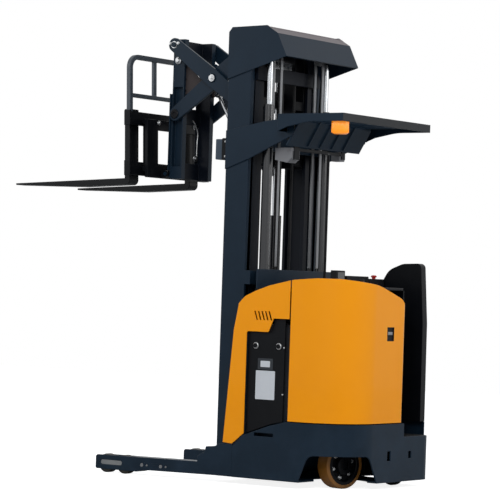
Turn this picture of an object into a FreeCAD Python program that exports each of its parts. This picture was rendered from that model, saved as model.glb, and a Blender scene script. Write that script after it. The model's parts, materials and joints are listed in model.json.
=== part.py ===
import FreeCAD, Part
import math
import os
import re
import Sketcher

# Stand-up pantograph reach truck, parked, with its carriage raised and half reached out.
# Millimetres. +X points along the forks, +Y to the truck's left, +Z up.
# Lengths along X are counted from the front face of the mast; the origin is then moved
# to the middle of the whole truck's length, on the floor.

SIZES = [
    # alias, value, what it is
    ("body_width", 1090, "overall width over the legs"),
    ("rear_reach", 1075, "mast face to the rear of the body"),
    ("body_front", 215, "mast face to the front of the body"),
    ("corner_left", 350, "radius of the rear left corner seen from above"),
    ("corner_right", 110, "radius of the rear right corner seen from above"),
    ("floor_gap", 45, "clearance under the skirt"),
    ("skirt_front", 245, "top of the skirt at its front end"),
    ("skirt_top", 424, "top of the skirt behind the battery"),
    ("skirt_knee_x", 300, "mast face to the first knee of the skirt's top edge"),
    ("skirt_knee_z", 322, "height of that knee"),
    ("skirt_bend_x", 503, "mast face to the second knee of the skirt's top edge"),
    ("skirt_bend_z", 394, "height of the second knee"),
    ("skirt_wall", 10, "thickness of the skirt"),
    ("base_wall", 12, "thickness of the floor plate"),
    ("arch_top", 220, "top of the drive wheel's arch"),
    ("arch_front", 741, "mast face to the front of the drive wheel's arch"),
    ("arch_right", 135, "centre line to the right end of the arch, at the floor"),
    ("wall_top", 1400, "top of the wall ahead of the battery"),
    ("wall_x", 310, "mast face to the wall ahead of the battery"),
    ("wall_thick", 12, "thickness of that wall"),
    ("post_wide", 66, "width of the posts that carry the side covers"),
    ("leg_tip", 912, "mast face to the tip of the legs"),
    ("leg_width", 100, "width of a leg"),
    ("leg_gap", 24, "clearance under a leg"),
    ("leg_nose", 119, "height of a leg at its tip"),
    ("leg_root", 128, "height of a leg at its root"),
    ("leg_cheek", 14, "thickness of a leg's cheek beside the load wheels"),
    ("step_front", 62, "mast face to the front of the leg's stepped gusset"),
    ("step_top", 257, "top of that gusset"),
    ("load_radius", 63.5, "radius of a load wheel"),
    ("load_width", 62, "width of a load wheel"),
    ("load_first", 838, "mast face to the front load wheel"),
    ("load_second", 684, "mast face to the second load wheel"),
    ("load_axle", 12, "radius of a load wheel's axle"),
    ("fit", 0.3, "running clearance at seats"),
    ("drive_x", 832, "mast face to the drive wheel"),
    ("drive_y", 205, "centre line to the drive wheel"),
    ("drive_radius", 152.5, "radius of the drive wheel"),
    ("drive_width", 96, "width of the drive wheel"),
    ("drive_steer", -105, "angle to which the drive wheel is turned"),
    ("drive_collar", 70, "radius of the drive unit's slewing neck"),
    ("drive_plate", 350, "height of the plate that carries the drive unit"),
    ("deck_plate", 300, "height of the plate under the operator's floor"),
    ("plate_thick", 16, "thickness of those plates"),
    ("motor_radius", 105, "radius of the traction motor"),
    ("motor_length", 290, "length of the traction motor"),
    ("caster_x", 850, "mast face to the caster's swivel"),
    ("caster_y", 355, "centre line to the caster's swivel"),
    ("caster_trail", 38, "trail of the caster"),
    ("caster_radius", 75, "radius of the caster wheel"),
    ("caster_width", 55, "width of the caster wheel"),
    ("cover_wall", 8, "thickness of the yellow cover"),
    ("cover_gap", 6, "joint between the covers and the skirt"),
    ("cover_top", 1350, "top of the cover"),
    ("cover_front_top", 1175, "top of the cover at its front end"),
    ("cover_right", 165, "centre line to the cover's right edge"),
    ("door_front", 640, "mast face to the front edge of the swinging cover"),
    ("door_seam", 11, "joint between the swinging cover and the fixed cover ahead of it"),
    ("door_return", 20, "depth of the cover's return at its right edge"),
    ("hinge_x", 22, "door's front edge back to its hinge"),
    ("hinge_y", 17, "cover's face in to its hinge"),
    ("hinge_radius", 6, "radius of the hinge pin"),
    ("knuckle_radius", 11, "radius of a hinge knuckle"),
    ("knuckle_tall", 50, "height of a hinge knuckle"),
    ("recess_front", 302, "mast face to the front of the battery gate"),
    ("recess_low", 995, "top of the battery gate, front part"),
    ("recess_high", 1083, "top of the battery gate, rear part"),
    ("recess_step", 492, "mast face to the step in the gate's top"),
    ("vent_x", 365, "mast face to the first vent slot"),
    ("vent_pitch", 28, "spacing of the vent slots"),
    ("vent_low", 1070, "bottom of the vent slots"),
    ("vent_tall", 58, "height of the vent slots"),
    ("knob_radius", 15, "radius of the gate's knobs"),
    ("knob_high", 905, "height of the gate's knobs"),
    ("gate_depth", 22, "how far the gate lies behind the cover's face"),
    ("battery_length", 280, "battery along the truck"),
    ("battery_width", 940, "battery across the truck"),
    ("battery_height", 620, "height of the battery"),
    ("wing_top", 1475, "top of the right wall"),
    ("wing_front", 664, "mast face to the front of the right wall"),
    ("wing_thick", 58, "thickness of the right wall"),
    ("deck_thick", 20, "thickness of the operator's floor"),
    ("mast_width", 840, "mast over its outer columns"),
    ("mast_depth", 180, "depth of the columns"),
    ("mast_foot", 60, "bottom of the columns"),
    ("mast_top", 2925, "top of the outer columns"),
    ("web", 14, "thickness of a column's web"),
    ("flange", 50, "width of a column's flanges"),
    ("flange_thick", 22, "thickness of a column's flanges"),
    ("nest_gap", 6, "gap between nested columns"),
    ("inner_slack", 6, "how far the innermost columns stand in from the others' faces"),
    ("inner_top", 2915, "top of the moving columns"),
    ("inner_foot", 90, "bottom of the moving columns"),
    ("tie_tall", 90, "height of a cross tie"),
    ("tie_thick", 20, "thickness of a cross tie"),
    ("head_rise", 43, "top of the arm rails above the upper arm pivots"),
    ("hood_top", 2988, "top of the mast head"),
    ("hood_open", 316, "mast face to the rear of the opening that the masts rise through"),
    ("hood_plate", 10, "thickness of the mast head's plates"),
    ("hood_rear", 464, "mast face to the rear of the mast head"),
    ("lift_radius", 32, "radius of a main lift cylinder"),
    ("rod_radius", 20, "radius of a lift rod"),
    ("lift_x", 270, "mast face to the main lift cylinders"),
    ("lift_y", 330, "centre line to the main lift cylinders"),
    ("free_radius", 42, "radius of the free lift cylinder"),
    ("chain_y", 232, "centre line to a lift chain"),
    ("chain_low", 1420, "lower end of the lift chains in view"),
    ("sheave_radius", 34, "radius of a chain sheave"),
    ("hose_radius", 9, "radius of a mast hose"),
    ("free_x", 118, "mast face to the free lift cylinder"),
    ("guard_top", 2400, "top of the overhead guard"),
    ("guard_rear", 985, "mast face to the rear of the overhead guard"),
    ("guard_width", 1064, "width of the overhead guard"),
    ("guard_rim", 52, "height of the guard's rim"),
    ("guard_plate", 10, "thickness of the guard's plates"),
    ("guard_front", 480, "mast face to the guard's front lip"),
    ("bar_thick", 14, "thickness of a guard bar"),
    ("bar_pitch", 118, "spacing of the guard bars"),
    ("rib_pitch", 140, "spacing of the ribs on the guard's inclined front plate"),
    ("cable_radius", 9, "radius of the cable from the guard to the battery hood"),
    ("cable_x", 470, "mast face to the cable"),
    ("cable_y", 92, "centre line to the cable"),
    ("lamp_radius", 56, "radius of the amber lamp"),
    ("lamp_tall", 120, "height of the amber lamp"),
    ("arm_half", 404, "half length of a scissor arm"),
    ("arm_angle", 54.6, "angle of the arms from upright, as parked"),
    ("arm_wide", 120, "width of a scissor arm at its middle"),
    ("arm_end", 46, "radius of a scissor arm's ends"),
    ("arm_thick", 25, "thickness of a scissor arm"),
    ("arm_outer_y", 212, "centre line to the outer arms"),
    ("arm_inner_y", 182, "centre line to the inner arms"),
    ("pivot_x", 62, "mast face back to the carriage's arm pivot"),
    ("pivot_high", 2907, "height of the upper arm pivots"),
    ("pin_radius", 18, "radius of an arm pin"),
    ("roller_radius", 34, "radius of an arm roller"),
    ("rail_y", 132, "centre line to the roller rails"),
    ("rail_wide", 44, "width of a roller rail"),
    ("rail_deep", 96, "depth of a roller rail"),
    ("rail_wall", 10, "thickness of a roller rail"),
    ("rail_low", 2085, "bottom of the roller rails"),
    ("frame_low", 2000, "bottom of the front frame"),
    ("tilt_x", 690, "mast face to the tilt pivot"),
    ("tilt_high", 2035, "height of the tilt pivot"),
    ("tilt_pin", 14, "radius of the tilt pin"),
    ("tilt_eye", 24, "radius of the eyes round the tilt pin"),
    ("tilt_ear", 16, "thickness of an ear at the tilt pin"),
    ("tilt_plate", 24, "thickness of the tilting frame"),
    ("tilt_width", 660, "width of the tilting frame"),
    ("tilt_top", 2400, "top of the tilting frame"),
    ("fork_tilt", 2.2, "how far the fork tips are down, as parked"),
    ("fork_face", 869, "mast face to the front of the fork shanks"),
    ("fork_length", 970, "length of a fork blade"),
    ("fork_width", 100, "width of a fork"),
    ("fork_thick", 45, "thickness of a fork"),
    ("fork_tip", 12, "thickness of a fork at its tip"),
    ("fork_low", 1955, "underside of the fork blades"),
    ("fork_high", 2470, "top of the fork shanks"),
    ("fork_y", 340, "centre line to the middle of a fork"),
    ("bar_low", 2020, "bottom of the lower carriage bar"),
    ("bar_high", 2360, "bottom of the upper carriage bar"),
    ("bar_tall", 90, "height of a carriage bar"),
    ("bar_deep", 34, "thickness of a carriage bar"),
    ("bar_width", 880, "length of the carriage bars"),
    ("rest_top", 2840, "top of the load backrest"),
    ("rest_width", 860, "width of the load backrest"),
    ("rest_tube", 32, "size of the backrest's frame"),
    ("rest_round", 95, "outer radius of the backrest's upper corners"),
    ("reach_radius", 26, "radius of a reach cylinder"),
    ("reach_rod", 13, "radius of a reach rod"),
    ("reach_y", 84, "centre line to a reach cylinder"),
    ("reach_tube", 322, "reach cylinder's pivot to its gland"),
    ("reach_inner", 275, "reach cylinder's pivot to the rod's inner end, as parked"),
    ("reach_x", 20, "mast face to the reach cylinders' pivot"),
    ("reach_high", 2060, "height of the reach cylinders' pivot"),
    ("reach_eye", 24, "radius of the reach cylinders' eyes"),
    ("ear_reach", 110, "centre pin to the pin of a reach rod"),
    ("ear_lean", 30, "angle of the reach rods' ears from upright, as parked"),
    ("link_radius", 28, "radius of the tube that joins the inner arms"),
]

doc = FreeCAD.newDocument("ReachTruck")
sheet = doc.addObject("Spreadsheet::Sheet", "Sizes")
for row, (alias, value, note) in enumerate(SIZES, 1):
    sheet.set(f"A{row}", alias)
    sheet.set(f"B{row}", str(value))
    sheet.setAlias(f"B{row}", alias)
    sheet.set(f"C{row}", note)
doc.recompute()

AXES = {
    "X": FreeCAD.Rotation(FreeCAD.Vector(0, 1, 0), 90),
    "Y": FreeCAD.Rotation(FreeCAD.Vector(1, 0, 0), -90),
    "Z": FreeCAD.Rotation(),
}
# Reach of the fork tips past the mast face, with the forks tilted, and the origin's place.
TIP = ("(tilt_x + (fork_face + fork_length - tilt_x) * cos(fork_tilt * 1deg)"
       " + (fork_low + fork_thick - tilt_high) * sin(fork_tilt * 1deg))")
FACE = f"((rear_reach - {TIP}) / 2)"
HALF = "body_width / 2"
MAST = "mast_width / 2"
nodes = []


def bound(text):
    """An expression whose plain words are names of cells."""
    return re.sub(r"\b([a-z][a-z_]*)\b(?!\s*\()", r"Sizes.\1", str(text).replace("1deg", "1 deg")).replace(
        "1 Sizes.deg", "1 deg")


def number(text):
    """The present value of such an expression, for sketch points and tests."""
    return float(getattr(sheet.evalExpression(bound(text)), "Value", sheet.evalExpression(bound(text))))


def bind(obj, sizes, at=("0", "0", "0")):
    for name, text in sizes.items():
        obj.setExpression(name, bound(text))
    for letter, text in zip("xyz", at):
        obj.setExpression(f"Placement.Base.{letter}", bound(text))
    return obj


def box(name, length, width, height, at):
    """A block whose lowest corner is at a point."""
    return bind(doc.addObject("Part::Box", name), {"Length": length, "Width": width, "Height": height}, at)


def rod(name, radius, height, at, axis="Z"):
    """A round bar that starts at a point and runs along an axis."""
    obj = doc.addObject("Part::Cylinder", name)
    obj.Placement = FreeCAD.Placement(FreeCAD.Vector(), AXES[axis])
    return bind(obj, {"Radius": radius, "Height": height}, at)


def profile(name, plane, points, depth, at=("0", "0", "0"), rounded=()):
    """A plate with a drawn outline; rounded lists (corner's x, y, radius) on the outline."""
    body = doc.addObject("PartDesign::Body", name)
    sketch = body.newObject("Sketcher::SketchObject", name + "_outline")
    origin = [item for item in body.Origin.OriginFeatures if item.Role == plane + "_Plane"][0]
    sketch.AttachmentSupport = [(origin, "")]
    sketch.MapMode = "FlatFace"
    spots = [(number(first), number(second)) for first, second in points]
    count = len(spots)
    for index in range(count):
        ends = [FreeCAD.Vector(*spots[step % count], 0) for step in (index, index + 1)]
        sketch.addGeometry(Part.LineSegment(*ends))
    for index in range(count):
        sketch.addConstraint(Sketcher.Constraint("Coincident", index, 2, (index + 1) % count, 1))
    for index in range(count):
        for kind, value, text in zip(("DistanceX", "DistanceY"), spots[index], points[index]):
            place = sketch.addConstraint(Sketcher.Constraint(kind, -1, 1, index, 1, value))
            sketch.setExpression(f"Constraints[{place}]", bound(text))
    pad = body.newObject("PartDesign::Pad", name + "_pad")
    pad.Profile = sketch
    pad.setExpression("Length", bound(depth))
    doc.recompute()
    for order, (first, second, radius) in enumerate(rounded):
        round_corner(body, f"{name}_round{order}", plane, (number(first), number(second)), radius)
    return bind(body, {}, at)


def round_corner(body, name, plane, spot, radius):
    """Rounds the edge of a plate that stands over one point of its outline."""
    letters = plane.lower()
    tip = body.Tip
    picked = []
    for order, edge in enumerate(tip.Shape.Edges, 1):
        ends = [(getattr(v.Point, letters[0]), getattr(v.Point, letters[1])) for v in edge.Vertexes]
        if len(ends) == 2 and all(math.dist(end, spot) < 0.01 for end in ends):
            picked.append(f"Edge{order}")
    fillet = body.newObject("PartDesign::Fillet", name)
    fillet.Base = (tip, picked)
    fillet.setExpression("Radius", bound(radius))
    body.Tip = fillet
    doc.recompute()


def cut(name, base, *tools):
    for order, tool in enumerate(tools):
        result = doc.addObject("Part::Cut", f"{name}_{order}" if order < len(tools) - 1 else name)
        result.Base, result.Tool = base, tool
        base = result
    return base


def fuse(name, *parts):
    result = doc.addObject("Part::MultiFuse", name)
    result.Shapes = list(parts)
    return result


def group(name, *parts):
    """Several solids that don't touch, kept as one sub-part."""
    result = doc.addObject("Part::Compound", name)
    result.Links = list(parts)
    return result


def mirrored(name, source):
    result = doc.addObject("Part::Mirroring", name)
    result.Source = source
    result.Normal = FreeCAD.Vector(0, 1, 0)
    return result


def common(name, base, tool):
    result = doc.addObject("Part::Common", name)
    result.Base, result.Tool = base, tool
    return result


def node(label, shape, at=("0", "0", "0"), axis=None, angle="0"):
    """Hands in a sub-part: its place from the mast's face, and a turn about its own origin."""
    obj = doc.addObject("Part::Compound", label + "_part")
    obj.Links = [shape]
    obj.Label = label
    if axis is not None:
        obj.Placement = FreeCAD.Placement(FreeCAD.Vector(), FreeCAD.Rotation(FreeCAD.Vector(*axis), 1))
        obj.setExpression("Placement.Rotation.Angle", bound(f"({angle}) * 1deg"))
    bind(obj, {}, (f"{FACE} + {at[0]}", at[1], at[2]))
    nodes.append(obj)
    return obj


# Chassis: a welded tray with a skirt all round, open under the drive wheel and the caster.
def plan(inset):
    return [(f"-body_front - {inset}", f"{HALF} - {inset}"), (f"-rear_reach + {inset}",
                                                              f"{HALF} - {inset}"),
            (f"-rear_reach + {inset}", f"-{HALF} + {inset}"),
            (f"-body_front - {inset}", f"-{HALF} + {inset}")]


def plan_rounds(inset):
    return [(*plan(inset)[1], f"corner_left - {inset}"), (*plan(inset)[2], f"corner_right - {inset}")]


skirt = profile("skirt", "XY", plan("0"), "skirt_top - floor_gap", ("0", "0", "floor_gap"),
                plan_rounds("0"))
tray = profile("tray", "XY", plan("skirt_wall"), "skirt_top", ("0", "0", "floor_gap + base_wall"),
               plan_rounds("skirt_wall"))
slope = profile("slope", "XZ", [("-body_front + 1", "skirt_front"), ("-body_front", "skirt_front"),
                                ("-skirt_knee_x", "skirt_knee_z"), ("-skirt_bend_x", "skirt_bend_z"),
                                ("-door_front", "skirt_top"), ("-door_front", "skirt_top + 20"),
                                ("-body_front + 1", "skirt_top + 20")],
                "body_width + 20", ("0", f"{HALF} + 10", "0"))
arch_side = profile("arch_side", "XZ", [("-arch_front", "0"), ("-arch_front", "floor_gap + 18"),
                                        ("-arch_front - 62", "arch_top"), ("-rear_reach - 20", "arch_top"),
                                        ("-rear_reach - 20", "0")], "body_width + 20",
                    ("0", f"{HALF} + 10", "0"),
                    [("-arch_front - 62", "arch_top", "55")])
arch_back = profile("arch_back", "YZ", [("arch_right", "0"), ("arch_right", "floor_gap"),
                                        ("arch_right + 100", "arch_top"), (f"{HALF} + 10", "arch_top"),
                                        (f"{HALF} + 10", "0")], "rear_reach",
                    ("-rear_reach - 10", "0", "0"),
                    [("arch_right + 100", "arch_top", "55")])
arch = common("arch", arch_side, arch_back)
sill = box("sill", "80", f"{HALF} - skirt_wall - cover_right - 14", "200",
           ("-rear_reach - 20", f"-{HALF} + skirt_wall", "deck_plate + plate_thick + deck_thick + fit"))
skirt_slots = [box(f"skirt_slot{order}", length, width, tall, at) for order,
               (length, width, tall, at) in enumerate((
    ("150", "40", "22", ("-skirt_bend_x - 32", f"{HALF} - 20", "skirt_knee_z")),
    ("40", "40", "62", ("-rear_reach - 20", "-22", "185")),
    ("40", "34", "46", ("-rear_reach - 20", "-276", "195"))))]
caster_hole = rod("caster_hole", "caster_radius + caster_trail + 60", "100",
                  ("-caster_x", "-caster_y", "0"))
drive_hole = rod("drive_hole", "drive_radius + 30", "100", ("-drive_x", "drive_y", "0"))
frame = cut("frame_shell", skirt, tray, slope, arch, caster_hole, drive_hole, sill, *skirt_slots)
front_wall = box("front_wall", "wall_thick", "battery_width", "wall_top - floor_gap - 5",
                 ("-wall_x - wall_thick", "-battery_width / 2", "floor_gap + 5"))
battery_floor = box("battery_floor", "door_front - wall_x",
                    "body_width - gate_depth * 2 - cover_wall * 2 - fit * 2",
                    "plate_thick", ("-door_front", f"-{HALF} + gate_depth + cover_wall + fit",
                                    "skirt_top - plate_thick"))
floor_legs = [box(f"floor_leg{order}", "door_front - wall_x", "14", "skirt_top - floor_gap - 15",
                  ("-door_front", y, "floor_gap + 5")) for order, y in enumerate(("-410", "396"))]
hinge_shelf = box("hinge_shelf", "100", "84", "plate_thick", ("-door_front - 99", f"{HALF} - 90",
                                                            "skirt_top - plate_thick"))
side_posts = []
for order, (wide_y, thin_y) in enumerate(((f"{HALF} - cover_wall - fit - post_wide", "battery_width / 2"),
                                          (f"-{HALF} + cover_wall + fit", "-battery_width / 2 - 36"))):
    side_posts.append(box(f"side_post{order}", "32", "post_wide", "cover_front_top - floor_gap - 25",
                          ("-recess_front + 4", wide_y, "floor_gap + 5")))
    side_posts.append(box(f"post_web{order}", "wall_x + wall_thick - recess_front + 10", "36",
                          "cover_front_top - floor_gap - 25",
                          ("-wall_x - wall_thick", thin_y, "floor_gap + 5")))
slabs = []
for order, (level, low_y, wide) in enumerate((("deck_plate", f"-{HALF}", f"{HALF} - cover_right + 14"),
                                              ("drive_plate", "-cover_right", f"{HALF} + cover_right"))):
    slab = profile(f"slab{order}", "XY", plan("skirt_wall - 1"), "plate_thick", ("0", "0", level),
                   plan_rounds("skirt_wall - 1"))
    zone = box(f"slab_zone{order}", "rear_reach - door_front + 10", wide, "plate_thick + 20",
               ("-rear_reach", low_y, f"{level} - 10"))
    slabs.append(common(f"slab_part{order}", slab, zone))
riser = box("riser", "rear_reach - door_front - 2", "14", "drive_plate + plate_thick - deck_plate",
            ("-rear_reach + 9", "-cover_right", "deck_plate"))
mount_hole = rod("mount_hole", "drive_collar + fit", "100", ("-drive_x", "drive_y", "drive_plate - 40"))
caster_plate = box("caster_plate", "200", "200", "12", ("-caster_x - 100", "-caster_y - 100",
                                                       "caster_radius * 2 + 58"))
caster_seat = rod("caster_seat", "24 + fit", "40", ("-caster_x", "-caster_y", "caster_radius * 2 + 40"))
caster_posts = [box(f"caster_post{order}", "12", "200", "deck_plate - caster_radius * 2 - 69",
                    (x, "-caster_y - 100", "caster_radius * 2 + 70"))
                for order, x in enumerate(("-caster_x - 100", "-caster_x + 88"))]
chassis_solid = fuse("chassis_solid", frame, front_wall, battery_floor, *slabs, riser, hinge_shelf,
                     *floor_legs,
                     *side_posts, *caster_posts, caster_plate)
node("chassis_frame", cut("chassis", chassis_solid, mount_hole, caster_seat))

# Legs: two cheeks over a tandem of load wheels, a solid bar behind, a step at the mast.
for side, label in ((1, "left"), (-1, "right")):
    low_y = f"{HALF} - leg_width" if side > 0 else f"-{HALF}"
    beam = profile(f"leg_{label}_beam", "XZ",
                   [("leg_tip", "leg_gap"), ("leg_tip", "leg_nose"), ("0", "leg_root"),
                    ("-body_front", "leg_root"),
                    ("-body_front", "leg_gap + 24"), ("load_second - 180", "leg_gap + 15"),
                    ("load_second - 120", "leg_gap")],
                   "leg_width", ("0", f"{low_y} + leg_width", "0"), [("leg_tip", "leg_nose", "18"),
                                                                     ("leg_tip", "leg_gap", "14")])
    step = profile(f"leg_{label}_step", "XZ",
                   [("step_front", "leg_root - 20"), ("step_front", "step_top - 96"),
                    ("step_front - 58", "step_top - 62"), ("step_front - 67", "step_top - 26"),
                    ("step_front - 130", "step_top - 24"), ("step_front - 180", "step_top"),
                    ("-body_front", "step_top"), ("-body_front", "leg_root - 20")],
                   "leg_width", ("0", f"{low_y} + leg_width", "0"),
                   [("step_front", "step_top - 96", "12"), ("step_front - 67", "step_top - 26", "8"),
                    ("step_front - 180", "step_top", "40")])
    face_y = f"{side} * ({HALF} - 4)" if side > 0 else f"-{HALF} - 6"
    marks = [rod(f"leg_{label}_mark{order}", radius, "10", (x, face_y, "(leg_nose + leg_gap) / 2"), "Y")
             for order, (radius, x) in enumerate((("14", "load_second - 164"), ("9", "load_second - 206"),
                                                  ("14", "load_second - 322"), ("9", "load_second - 364"),
                                                  ("18", "load_second + 18"), ("18", "load_first + 16")))]
    marks.append(box(f"leg_{label}_mark_bar", "load_first - load_second - 2", "10", "36",
                     ("load_second + 18", face_y, "(leg_nose + leg_gap) / 2 - 18")))
    slot = box(f"leg_{label}_slot", "load_first - load_second + load_radius * 2 + 16",
               "leg_width - leg_cheek * 2", "200",
               ("load_second - load_radius - 8", f"{low_y} + leg_cheek", "0"))
    shafts = [rod(f"leg_{label}_axle_{place}", "load_axle", "leg_width - leg_cheek * 2 + 8",
                  (place, f"{low_y} + leg_cheek - 4", "load_radius"), "Y") for place in ("load_first",
                                                                                         "load_second")]
    leg = cut(f"leg_{label}_open", fuse(f"leg_{label}_solid", beam, step), slot, *marks)
    node(f"leg_{label}", fuse(f"leg_{label}_whole", leg, *shafts))
    for number_word, place in (("front", "load_first"), ("rear", "load_second")):
        tyre = rod(f"load_{label}_{number_word}_tyre", "load_radius", "load_width",
                   ("0", "-load_width / 2", "0"), "Y")
        bore = rod(f"load_{label}_{number_word}_bore", "load_axle + fit", "load_width + 2",
                   ("0", "-load_width / 2 - 1", "0"), "Y")
        node(f"load_wheel_{label}_{number_word}", cut(f"load_{label}_{number_word}", tyre, bore),
             (place, f"{low_y} + leg_width / 2", "load_radius"))

# Drive unit: it slews in the mounting plate, with the motor on top and the wheel beneath.
neck = rod("neck", "drive_collar", "plate_thick + 40", ("0", "0", "drive_plate - 20"))
motor = rod("motor", "motor_radius", "motor_length", ("0", "0", "drive_plate + plate_thick + 8"))
fork_head = box("fork_head", "190", "drive_width + 70", "30",
                ("-95", "-drive_width / 2 - 35", "drive_plate - 38"))
cheek = box("cheek", "120", "26", "drive_plate - drive_radius + 42",
            ("-60", "drive_width / 2 + 6", "drive_radius - 60"))
drive_axle = rod("drive_axle", "26", "drive_width + 20", ("0", "-drive_width / 2 + 4", "drive_radius"), "Y")
ring_plate = rod("ring_plate", "drive_collar + 45", "8", ("0", "0", "drive_plate + plate_thick + fit"))
node("drive_unit", fuse("drive_unit_whole", neck, motor, fork_head, cheek, drive_axle, ring_plate),
     ("-drive_x", "drive_y", "0"), (0, 0, 1), "drive_steer")
tread = rod("tread", "drive_radius", "drive_width", ("0", "-drive_width / 2", "0"), "Y")
drive_bore = rod("drive_bore", "26 + fit", "drive_width + 2", ("0", "-drive_width / 2 - 1", "0"), "Y")
dish = rod("dish", "drive_radius - 50", "24", ("0", "-drive_width / 2 - 1", "0"), "Y")
hub = rod("hub", "62", "30", ("0", "-drive_width / 2 - 8", "0"), "Y")
bolts = [rod(f"drive_bolt{order}", "9", "32", (f"82 * cos({order} * 60 * 1deg)",
                                              "-drive_width / 2 + 12",
                                              f"82 * sin({order} * 60 * 1deg)"), "Y") for order in range(6)]
drive_wheel = cut("drive_wheel_whole", fuse("wheel_solid", cut("tread_dished", tread, dish), hub, *bolts),
                  drive_bore)
node("drive_wheel", drive_wheel, ("-drive_x", "drive_y", "drive_radius"), (0, 0, 1), "drive_steer")

# Caster: a swivelling fork and one wheel at the rear right.
stem = rod("stem", "24", "70", ("0", "0", "caster_radius * 2 + 24"))
bridge = box("bridge", "110", "caster_width + 34", "14",
             ("-75", "-caster_width / 2 - 17", "caster_radius * 2 + 12"))
arms = [box(f"caster_arm{order}", "60", "10", "caster_radius + 20",
            ("-caster_trail - 30", y, "caster_radius - 6"))
        for order, y in enumerate(("caster_width / 2 + 7", "-caster_width / 2 - 17"))]
caster_axle = rod("caster_axle", "10", "caster_width + 16", ("-caster_trail", "-caster_width / 2 - 8",
                                                            "caster_radius"), "Y")
node("caster_fork", fuse("caster_fork_whole", stem, bridge, caster_axle, *arms),
     ("-caster_x", "-caster_y", "0"))
caster_tyre = rod("caster_tyre", "caster_radius", "caster_width", ("0", "-caster_width / 2", "0"), "Y")
caster_bore = rod("caster_bore", "10 + fit", "caster_width + 2", ("0", "-caster_width / 2 - 1", "0"), "Y")
node("caster_wheel", cut("caster_wheel_whole", caster_tyre, caster_bore),
     ("-caster_x - caster_trail", "-caster_y", "caster_radius"))

# Battery: one block behind the mast, across the truck.
node("battery", box("battery_block", "battery_length", "battery_width", "battery_height",
                    ("-door_front + 20", "-battery_width / 2", "skirt_top + fit")))

# Operator's floor, the wall beside the drive unit and the tall wall on the right.
deck_block = box("deck_block", "rear_reach - door_front - skirt_wall - 6",
                 f"{HALF} - skirt_wall - cover_right - 6", "deck_thick",
                 ("-rear_reach + skirt_wall + 2", f"-{HALF} + skirt_wall + 2",
                  "deck_plate + plate_thick + fit"))
deck_plan = profile("deck_plan", "XY", plan("skirt_wall + 2"), "deck_thick + 20", ("0", "0", "deck_plate"),
                    plan_rounds("skirt_wall + 2"))
node("operator_floor", common("deck", deck_block, deck_plan))
wing = profile("wing", "XZ", [("-wing_front", "skirt_top + fit"), ("-wing_front", "wing_top - 144"),
                              ("-wing_front - 59", "wing_top - 48"), ("-wing_front - 168", "wing_top - 5"),
                              ("-rear_reach + 100", "wing_top"), ("-rear_reach + 72", "wing_top - 400"),
                              ("-rear_reach + 68", "skirt_top + fit")],
               "wing_thick", ("0", f"-{HALF} + wing_thick", "0"),
               [("-wing_front - 59", "wing_top - 48", "120"), ("-wing_front - 168", "wing_top - 5", "120"),
                ("-rear_reach + 100", "wing_top", "34")])
node("right_wall", wing)
bulkhead = profile("bulkhead", "XZ", [("-door_front", "skirt_top + fit"),
                                      ("-door_front + 14", "skirt_top + fit"),
                                      ("-door_front + 14", "cover_top - 74 - fit"),
                                      ("-wall_x - wall_thick - fit", "cover_top - 90 - fit"),
                                      ("-wall_x - wall_thick - fit", "cover_top - 76 - fit"),
                                      ("-door_front", "cover_top - 60 - fit")],
                   "body_width - 100", ("0", f"{HALF} - 50", "0"))
node("rear_bulkhead", bulkhead)
node("compartment_panel", box("compartment_block", "rear_reach - door_front - door_return - 8", "10",
                              "cover_top - 60 - drive_plate - plate_thick - fit * 2",
                              ("-rear_reach + door_return + 6", "-cover_right",
                               "drive_plate + plate_thick + fit")))

# Covers: on each side a fixed strip beside the mast and a gate over the battery's end.
DOOR_LINE = "-door_front + door_seam - 3"
strip_points = [("-body_front + 76", "skirt_front + 22"), ("-body_front + 16", "1000"),
                ("-body_front - 18", "cover_front_top"), ("-recess_front + 22", "cover_top - 129"),
                ("-recess_front - 56", "cover_top - 94"), ("-recess_front - 165", "cover_top - 56"),
                (DOOR_LINE, "cover_top - 19"), (DOOR_LINE, "recess_high"),
                ("-recess_step - 19", "recess_high"), ("-recess_step + 19", "recess_low"),
                ("-recess_front", "recess_low"), ("-recess_front", "skirt_knee_z + 12"),
                ("-body_front + 4", "skirt_front + 16")]
strip_plate = profile("strip_plate", "XZ", strip_points, "cover_wall", ("0", HALF, "0"),
                      [("-recess_front + 22", "cover_top - 129", "60"),
                       ("-recess_front", "recess_low", "14"),
                       ("-recess_step + 19", "recess_low", "14")])
vents = [profile(f"vent{order}", "XZ", [(f"-vent_x - {order} * vent_pitch - 22", "vent_low"),
                                        (f"-vent_x - {order} * vent_pitch - 10", "vent_low"),
                                        (f"-vent_x - {order} * vent_pitch + 10", "vent_low + vent_tall"),
                                        (f"-vent_x - {order} * vent_pitch - 2", "vent_low + vent_tall")],
                 "cover_wall * 3", ("0", f"{HALF} + cover_wall", "0")) for order in range(5)]
strip = cut("strip", strip_plate, *vents)
node("side_cover_left", strip)
node("side_cover_right", mirrored("strip_right", strip))
gate_plate = profile("gate_plate", "XZ",
                     [("-recess_front - 3", "skirt_knee_z + 14"), ("-recess_front - 3", "recess_low - 3"),
                      ("-recess_step + 17", "recess_low - 3"), ("-recess_step - 21", "recess_high - 3"),
                      ("-door_front + 50", "recess_high - 3"), ("-door_front + 50", "skirt_top - 2"),
                      ("-skirt_bend_x", "skirt_bend_z + 10")],
                     "cover_wall", ("0", f"{HALF} - gate_depth", "0"))
knobs = [rod(f"gate_knob{order}", "knob_radius", "15", (x, f"{HALF} - gate_depth - 1", "knob_high"), "Y")
         for order, x in enumerate(("-recess_front - 63", "-recess_front - 243"))]
gate = fuse("gate", gate_plate, *knobs)
node("battery_gate_left", gate)
node("battery_gate_right", mirrored("gate_right", gate))

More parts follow.
